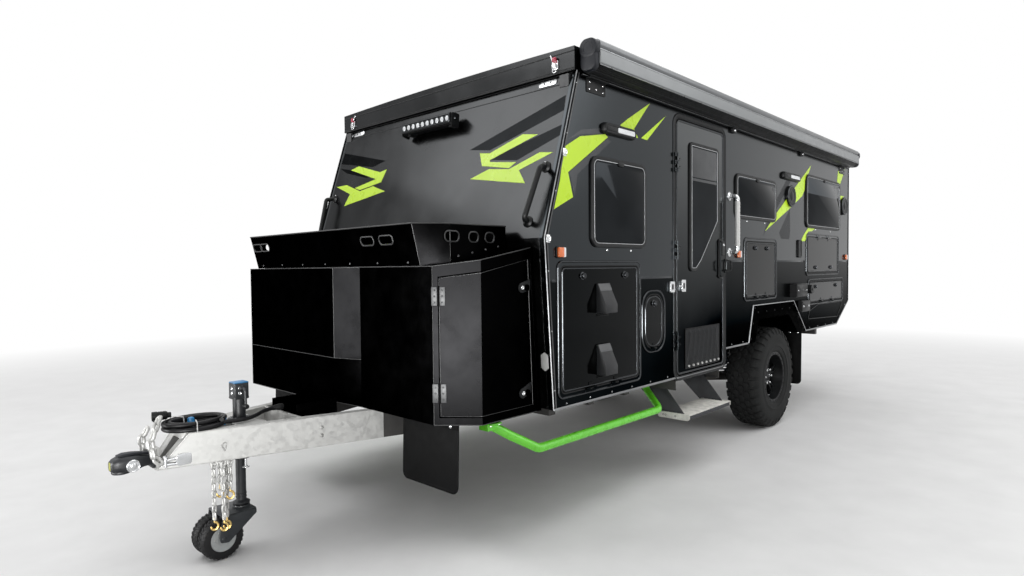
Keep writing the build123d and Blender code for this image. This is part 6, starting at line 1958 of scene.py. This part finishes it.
def jockey_clamp():
    """Clamp round the foot of the fixed tube, with its pin and ring."""
    y, pin_x = jockey_y, 0.060
    clamp = Shape()
    clamp.slab(on_z(0.451, rect(-0.038, 0.038, y - 0.038, y + 0.038, 0.010, 4)), (0, 0, 0.037), 0.003)
    lug = rounded([(0.030, y - 0.016), (0.074, y - 0.012), (0.074, y + 0.012), (0.030, y + 0.016)],
            0.004, 3)
    clamp.slab(on_z(0.460, lug), (0, 0, 0.014), 0.002)
    piece("jockey_clamp", clamp, head_grey)
    pin = Shape()
    pin.tube([(pin_x, y, 0.418), (pin_x, y, 0.476)], 0.0055, 12)
    pin.tube([(pin_x + 0.015 * cos(t), y + 0.015 * sin(t), 0.4165) for t in circle(16)], 0.0022, 8,
            closed=True)
    piece("jockey_pin", pin, bright_metal, slot="galvanised_steel")


def jockey_leg():
    """Sliding tube with its foot and two rings, and the forked arm behind the wheels."""
    y, centre, axle_z = jockey_y, jockey_wheel_y, jockey_wheel_z
    leg = Shape()
    leg.turned((0, y, 0.2240), Z, [(0, 0.022), (0, 0.038), (0.004, 0.040), (0.010, 0.040),
            (0.016, 0.030), (0.020, 0.0235), (0.310, 0.0235), (0.310, 0.020)], 36)
    for z in (0.254, 0.270):
        leg.turned((0, y, z), Z, [(0, 0.0237), (0.001, 0.0255), (0.006, 0.0255), (0.007, 0.0237)], 30,
                closed=True)
    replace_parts(piece("jockey_leg_tube", leg, cast_black, "jockey_leg"), "jockey_leg")
    fork = Shape()
    cheek = rounded([(centre - 0.022, 0.112), (centre - 0.018, 0.088), (centre + 0.020, 0.082),
            (y + 0.038, 0.188), (y + 0.038, 0.213), (centre - 0.006, 0.213)], 0.010, 4)
    for side in (1, -1):
        fork.slab(on_x(side * 0.0785, cheek), (side * 0.0050, 0, 0), 0.0012)
        fork.bolt((side * 0.0835, centre, axle_z), (side, 0, 0), 0.0078)
    fork.slab(on_z(0.2065, rect(-0.0835, 0.0835, centre - 0.010, y + 0.038, 0.008, 4)), (0, 0, 0.0070),
            0.0015)
    fork.turned((0, y, 0.2130), Z, [(0, 0.030), (0, 0.039), (0.003, 0.0395), (0.0075, 0.038),
            (0.0078, 0.030)], 32, closed=True)
    fork.tube([(-0.080, centre, axle_z), (0.080, centre, axle_z)], 0.0078, 16)
    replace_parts(piece("jockey_fork_plates", fork, head_grey, "jockey_fork"), "jockey_fork")


def jockey_wheels():
    """Twin wheels: ribbed tyres on pale hubs."""
    tyres, hubs = Shape(), Shape()
    centre, axle_z = jockey_wheel_y, jockey_wheel_z
    half_tyre = [(0.0305, 0.060), (0.031, 0.080), (0.028, 0.091), (0.020, 0.0955)]
    tyre_profile = [(-a, r) for a, r in half_tyre] + [(0, 0.0965)] + half_tyre[::-1]
    half_hub = [(0, 0.0095), (0, 0.058), (0.003, 0.061), (0.010, 0.062), (0.013, 0.050), (0.022, 0.046)]
    hub_profile = half_hub + [(0.060 - a, r) for a, r in half_hub[::-1]]
    for side in (1, -1):
        middle = side * 0.041

        def place(across, radius, turn):
            return Vector((middle + across, centre + radius * cos(turn), axle_z + radius * sin(turn)))
        hoop(tyres, place, tyre_profile, 48)
        for k in range(30):
            for hand in (-1, 1):
                t = 2 * pi * (k + (0.5 if hand > 0 else 0)) / 30
                ribs, half = [], 0.055
                for a, r, swing in ((0.002, 0.0996, 0.030), (0.012, 0.0996, 0.0),
                        (0.023, 0.0975, -0.035), (0.0295, 0.0905, -0.045)):
                    ribs.append([place(a * hand, r - 0.006, t + swing - half),
                            place(a * hand, r, t + swing - half * 0.8),
                            place(a * hand, r, t + swing + half * 0.8),
                            place(a * hand, r - 0.006, t + swing + half)])
                tyres.skin(ribs)
        hubs.turned((middle - 0.030, centre, axle_z), X, hub_profile, 40, closed=True)
        for t in circle(6):
            hubs.turned(place(side * 0.0295, 0.036, t), (side, 0, 0),
                    [(-0.002, 0.007), (0.0012, 0.007), (0.0018, 0.0058), (0.0002, 0.005)], 14)
    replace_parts(piece("jockey_tyres", tyres, soft_rubber, "jockey_wheels"), "jockey_wheels")
    piece("jockey_hubs", hubs, hub_grey, "jockey_wheels")


def jockey():
    """Jockey stand. The looks of its fixed tube stand for the CAD post."""
    made = jockey_post()
    jockey_crank()
    jockey_clamp()
    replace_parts(made, "jockey_post")
    jockey_leg()
    jockey_wheels()


def lead_details():
    """Round plug with a lid, the strain relief at the gland and two white ties."""
    plug, lid = Shape(), Shape()
    tail, tip = Vector((-0.062, -4.385, 0.7028)), Vector((-0.080, -4.462, 0.7028))
    way = (tip - tail).normalized()
    profile = [(0, 0.0105), (0.002, 0.0125), (0.014, 0.0130), (0.016, 0.0165), (0.020, 0.0185)]
    for k in range(5):
        a = 0.022 + 0.0064 * k
        profile += [(a, 0.0190), (a + 0.001, 0.0204), (a + 0.0040, 0.0204), (a + 0.005, 0.0190)]
    profile += [(0.056, 0.0195), (0.058, 0.0215), (0.0785, 0.0215), (0.0790, 0.0190), (0.070, 0.0180),
            (0.070, 0.004)]
    plug.turned(tail, way, profile, 32)
    side = way.cross(Vector(Z)).normalized()
    up = side.cross(way).normalized()
    for t in circle(7):
        lid.turned(tip - way * 0.012 + (side * cos(t) + up * sin(t)) * 0.0105, way,
                [(0, 0.0022), (0.008, 0.0022), (0.009, 0.0015)], 8)
    plug.tube([tail + way * 0.060 - up * 0.0215, tail + way * 0.074 - up * 0.0230], 0.0035, 8)
    made = piece("drawbar_plug_body", plug, black_plastic)
    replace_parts(made, "drawbar_plug")
    pins = piece("drawbar_plug_pins", lid, brass)
    relief = Shape()
    base = Vector((0.020, -3.8905, 0.670))
    profile = [(-0.010, 0.0150), (0.004, 0.0170), (0.012, 0.0168)]
    for k in range(4):
        a = 0.014 + 0.009 * k
        r = 0.0158 - 0.0011 * k
        profile += [(a, r - 0.0016), (a + 0.001, r), (a + 0.006, r - 0.0003), (a + 0.007, r - 0.0018)]
    profile += [(0.052, 0.0106)]
    relief.turned(base, (0, -1, 0), profile, 28)
    boot = piece("drawbar_lead_gland", relief, soft_rubber)
    ties = Shape()
    for turn in (radians(-12), radians(205)):
        out = Vector((cos(turn) * 0.112, sin(turn) * 0.142, 0))
        middle, out = Vector((*coil_centre, 0)) + out, out.normalized()
        loop = [middle + out * a + Vector((0, 0, z))
                for a, z in ((-0.058, 0.6405), (0.013, 0.6405), (0.016, 0.655), (0.013, 0.6845),
                (-0.058, 0.6845), (-0.061, 0.655))]
        ties.tube(bent(loop + loop[:1], 0.006), 0.0024, 8)
    strap = piece("drawbar_lead_ties", ties, white_plastic)
    return [made, pins, boot, strap]


# ---- under and behind the body -------------------------------------------------------------------
def mudflaps():
    """Moulded flaps with rounded feet, a raised border and a bolted clamp strip."""
    flaps, bolts = Shape(), Shape()
    for x0, x1, y, z0, z1 in ((0.480, 0.900, -3.460, 0.305, 0.640),
            (0.785, 1.065, 0.560, 0.285, 0.770)):
        def bow(z):
            """How far the flap is blown forward at a height."""
            return 0.012 * ((z1 - z) / (z1 - z0)) ** 2

        outline = arc_rect(x0, x1, z0, z1, 0.038)
        rows = [[Vector((x, y + depth - bow(z), z)) for x, z in outline] for depth in (-0.0030, 0.0030)]
        flaps.soften(flaps.skin(rows), 0.0010)
        inner = arc_rect(x0 + 0.012, x1 - 0.012, z0 + 0.012, z1 - 0.012, 0.030)
        border = [Vector((x, y - bow(z), z)) for x, z in inner]
        flaps.tube(border, 0.0042, 8, closed=True)
        flaps.box(x0 + 0.004, x1 - 0.004, y - 0.007, y - 0.002, z1 - 0.030, z1 - 0.004, 0.001)
        for k in range(4):
            x = x0 + (x1 - x0) * (k + 0.5) / 4
            bolts.bolt((x, y - 0.007, z1 - 0.017), (0, -1, 0), 0.0055)
    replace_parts(piece("moulded_mudflaps", flaps.mirrored(), flap_rubber, sharp=30), "mudflaps")
    piece("mudflap_bolts", bolts.mirrored(), bright_metal)


def arc_rect(x0, x1, z0, z1, radius, steps=6):
    """An oblong whose two lower corners are round."""
    outline = [(x0, z1)]
    for x, start in ((x0 + radius, pi), (x1 - radius, 3 * pi / 2)):
        for k in range(steps + 1):
            t = start + pi / 2 * k / steps
            outline.append((x + radius * cos(t), z0 + radius + radius * sin(t)))
    return outline + [(x1, z1)]


def entry_step_details():
    """Thick gritty tread in two halves with side plates, and its folding arms' bolts."""
    tread, marks = Shape(), Shape()
    for y0, y1 in ((-1.7235, -1.430), (-1.426, -1.1315)):
        tread.slab(on_y(y0, rounded([(0.950, 0.3845), (1.158, 0.3845), (1.158, 0.4125),
                (0.950, 0.4125)], 0.008, 4)), (0, y1 - y0, 0), 0.004)
        for k in range(7):
            for m in range(11):
                x, y = 0.970 + 0.028 * k, y0 + 0.022 + (y1 - y0 - 0.044) * m / 10
                tread.turned((x, y, 0.4120), Z, [(0, 0.0062), (0.0016, 0.0050), (0.0020, 0.0025)], 7,
                        start=0.4 * m)
    for y, way in ((-1.7235, -1), (-1.1315, 1)):
        tread.slab(on_y(y, rounded([(0.935, 0.376), (1.148, 0.376), (1.160, 0.388), (1.160, 0.416),
                (0.935, 0.416)], 0.006, 4)), (0, way * 0.005, 0), 0.0015)
        for x in (0.972, 0.990, 1.060):
            marks.turned((x, y + way * 0.0045, 0.396), (0, way, 0),
                    [(-0.001, 0.0062), (0.0010, 0.0062), (0.0014, 0.0050), (0.0002, 0.0040)], 14)
    piece("step_tread", tread, off_white, "entry_step")
    piece("step_fixings", marks, black_plastic, "entry_step")


def rail_details():
    """Clamp plates and bolts where the green side rails meet the body."""
    plates, bolts = Shape(), Shape()
    for x, y, z in ((0.932, -3.286, 0.607), (0.868, -1.800, 0.640)):
        plates.slab(on_z(z + 0.010, rect(x - 0.045, x + 0.045, y - 0.040, y + 0.040, 0.010, 4)),
                (0, 0, 0.008), 0.0015)
        for a, b in ((-0.032, -0.028), (0.032, -0.028), (-0.032, 0.028), (0.032, 0.028)):
            bolts.bolt((x + a, y + b, z + 0.010), (0, 0, -1), 0.006)
    for y in (-2.90, -2.50, -2.10):
        bolts.turned((1.035, y, 0.465 - 0.0228), (0, 0, -1),
                [(-0.001, 0.006), (0.001, 0.006), (0.0015, 0.004)], 12)
    piece("rail_clamps", plates.mirrored(), green_coat)
    piece("rail_bolts", bolts.mirrored(), bright_metal)


def suspension():
    """Trailing arms with coil springs, dampers, hubs and brake drums."""
    arms, springs, dampers = Shape(), Shape(), Shape()
    outline = [(-0.695, 0.480), (-0.690, 0.505), (-0.640, 0.530), (-0.560, 0.525), (-0.240, 0.440),
            (-0.090, 0.440), (0.000, 0.478), (0.062, 0.476), (0.062, 0.366), (0.000, 0.360),
            (-0.100, 0.372), (-0.560, 0.432), (-0.680, 0.440)]
    arms.slab(on_x(0.622, rounded(outline, 0.012, 3)), (0.076, 0, 0), 0.006)
    arms.turned((0.6215, -0.640, 0.480), X, [(0, 0.020), (0, 0.046), (0.077, 0.046), (0.077, 0.020)],
            28, closed=True)
    arms.turned((0.700, 0, tyre_radius), X, [(-0.004, 0.030), (0.030, 0.030), (0.032, 0.060),
            (0.036, 0.118), (0.040, 0.124), (0.088, 0.124), (0.094, 0.118), (0.096, 0.050),
            (0.240, 0.048), (0.250, 0.030)], 40)
    for z in (0.4425, 0.6300):
        arms.turned((0.660, -0.170, z), Z, [(0, 0.020), (0, 0.054), (0.003, 0.055), (0.006, 0.054),
                (0.006, 0.020)], 32, closed=True)
    coil = []
    for k in range(6 * 20 + 1):
        t = 2 * pi * k / 20
        coil.append((0.660 + 0.0440 * cos(t), -0.170 + 0.0440 * sin(t), 0.4560 + 0.1680 * k / 120))
    springs.tube(coil, 0.0072, 8)
    dampers.tube([(0.648, -0.330, 0.452), (0.648, -0.270, 0.560)], 0.018, 16)
    dampers.tube([(0.648, -0.270, 0.560), (0.648, -0.228, 0.640)], 0.010, 12)
    for at in ((0.648, -0.333, 0.450), (0.648, -0.226, 0.634)):
        dampers.turned((at[0] - 0.020, at[1], at[2]), X,
                [(0, 0.008), (0, 0.017), (0.040, 0.017), (0.040, 0.008)], 18, closed=True)
    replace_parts(piece("trailing_arms", arms.mirrored(), chassis_finish), "suspension_arms")
    piece("coil_springs", springs.mirrored(), spring_blue)
    piece("dampers", dampers.mirrored(), cap_finish, slot="chassis_black")


def tank_straps():
    """Three steel straps under each water tank."""
    straps, bolts = Shape(), Shape()
    for low, high in solids("water_tanks"):
        for share in (0.2, 0.5, 0.8):
            y = low.y + (high.y - low.y) * share
            path = [(low.x - 0.0025, high.z - 0.01), (low.x - 0.0025, low.z - 0.0025),
                    (high.x + 0.0025, low.z - 0.0025), (high.x + 0.0025, high.z - 0.01)]
            rings = []
            for a, b in path:
                rings.append([Vector((a, y - 0.020, b)), Vector((a, y + 0.020, b)),
                        Vector((a * 0.996, y + 0.020, b + 0.002)),
                        Vector((a * 0.996, y - 0.020, b + 0.002))])
            straps.skin(rings)
            for x in (low.x + 0.03, high.x - 0.03):
                bolts.bolt((x, y, low.z - 0.002), (0, 0, -1), 0.007)
    piece("tank_straps", straps, zinc)
    piece("tank_strap_bolts", bolts, bright_metal, slot="galvanised_steel")


def roof_skirt():
    """Accordion of coated canvas between the walls and the lifting roof."""
    x, y0, y1, z0, z1 = 1.033, -2.729, 1.838, 2.3265, 2.4770
    folds, depth, thick = 12, 0.0230, 0.0010
    outer = []
    for k in range(2 * folds + 1):
        inward = 0.002 + (depth if k % 2 else 0.0)
        outer.append((inward, (z1 - z0) * k / (2 * folds)))
    profile = outer + [(inward + thick, out) for inward, out in reversed(outer)]
    shape = Shape()
    shape.moulding(on_z(z0, rect(-x, x, y0, y1, 0.060, 6)), Z, profile)
    made = piece("roof_skirt_canvas", shape, skirt_cloth, None, sharp=20)
    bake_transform(made)
    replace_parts(made, "roof_skirt")


for draw in (
        camera, studio, finish_nodes, corner_trims, joint_strips, sill_trims, decals, window_trims,
        hatch_trims, vent_hoods, door_trims, door_fittings, door_pocket, entry_handle, lamp_details,
        reflectors_and_hooks, fitting_details, arch_trims, wheels, awning, roof_seams, roof_latches,
        awning_brackets, light_bar, front_handle_feet, roof_top, box_edges, box_doors, box_hinges,
        tray_details, coupling_details, drawbar_welds, chain_shackles, safety_chains, drawbar_caps,
        jockey, mudflaps, entry_step_details, rail_details, suspension, tank_straps, roof_skirt):
    draw()
lead = drawbar_lead()
lead_details()
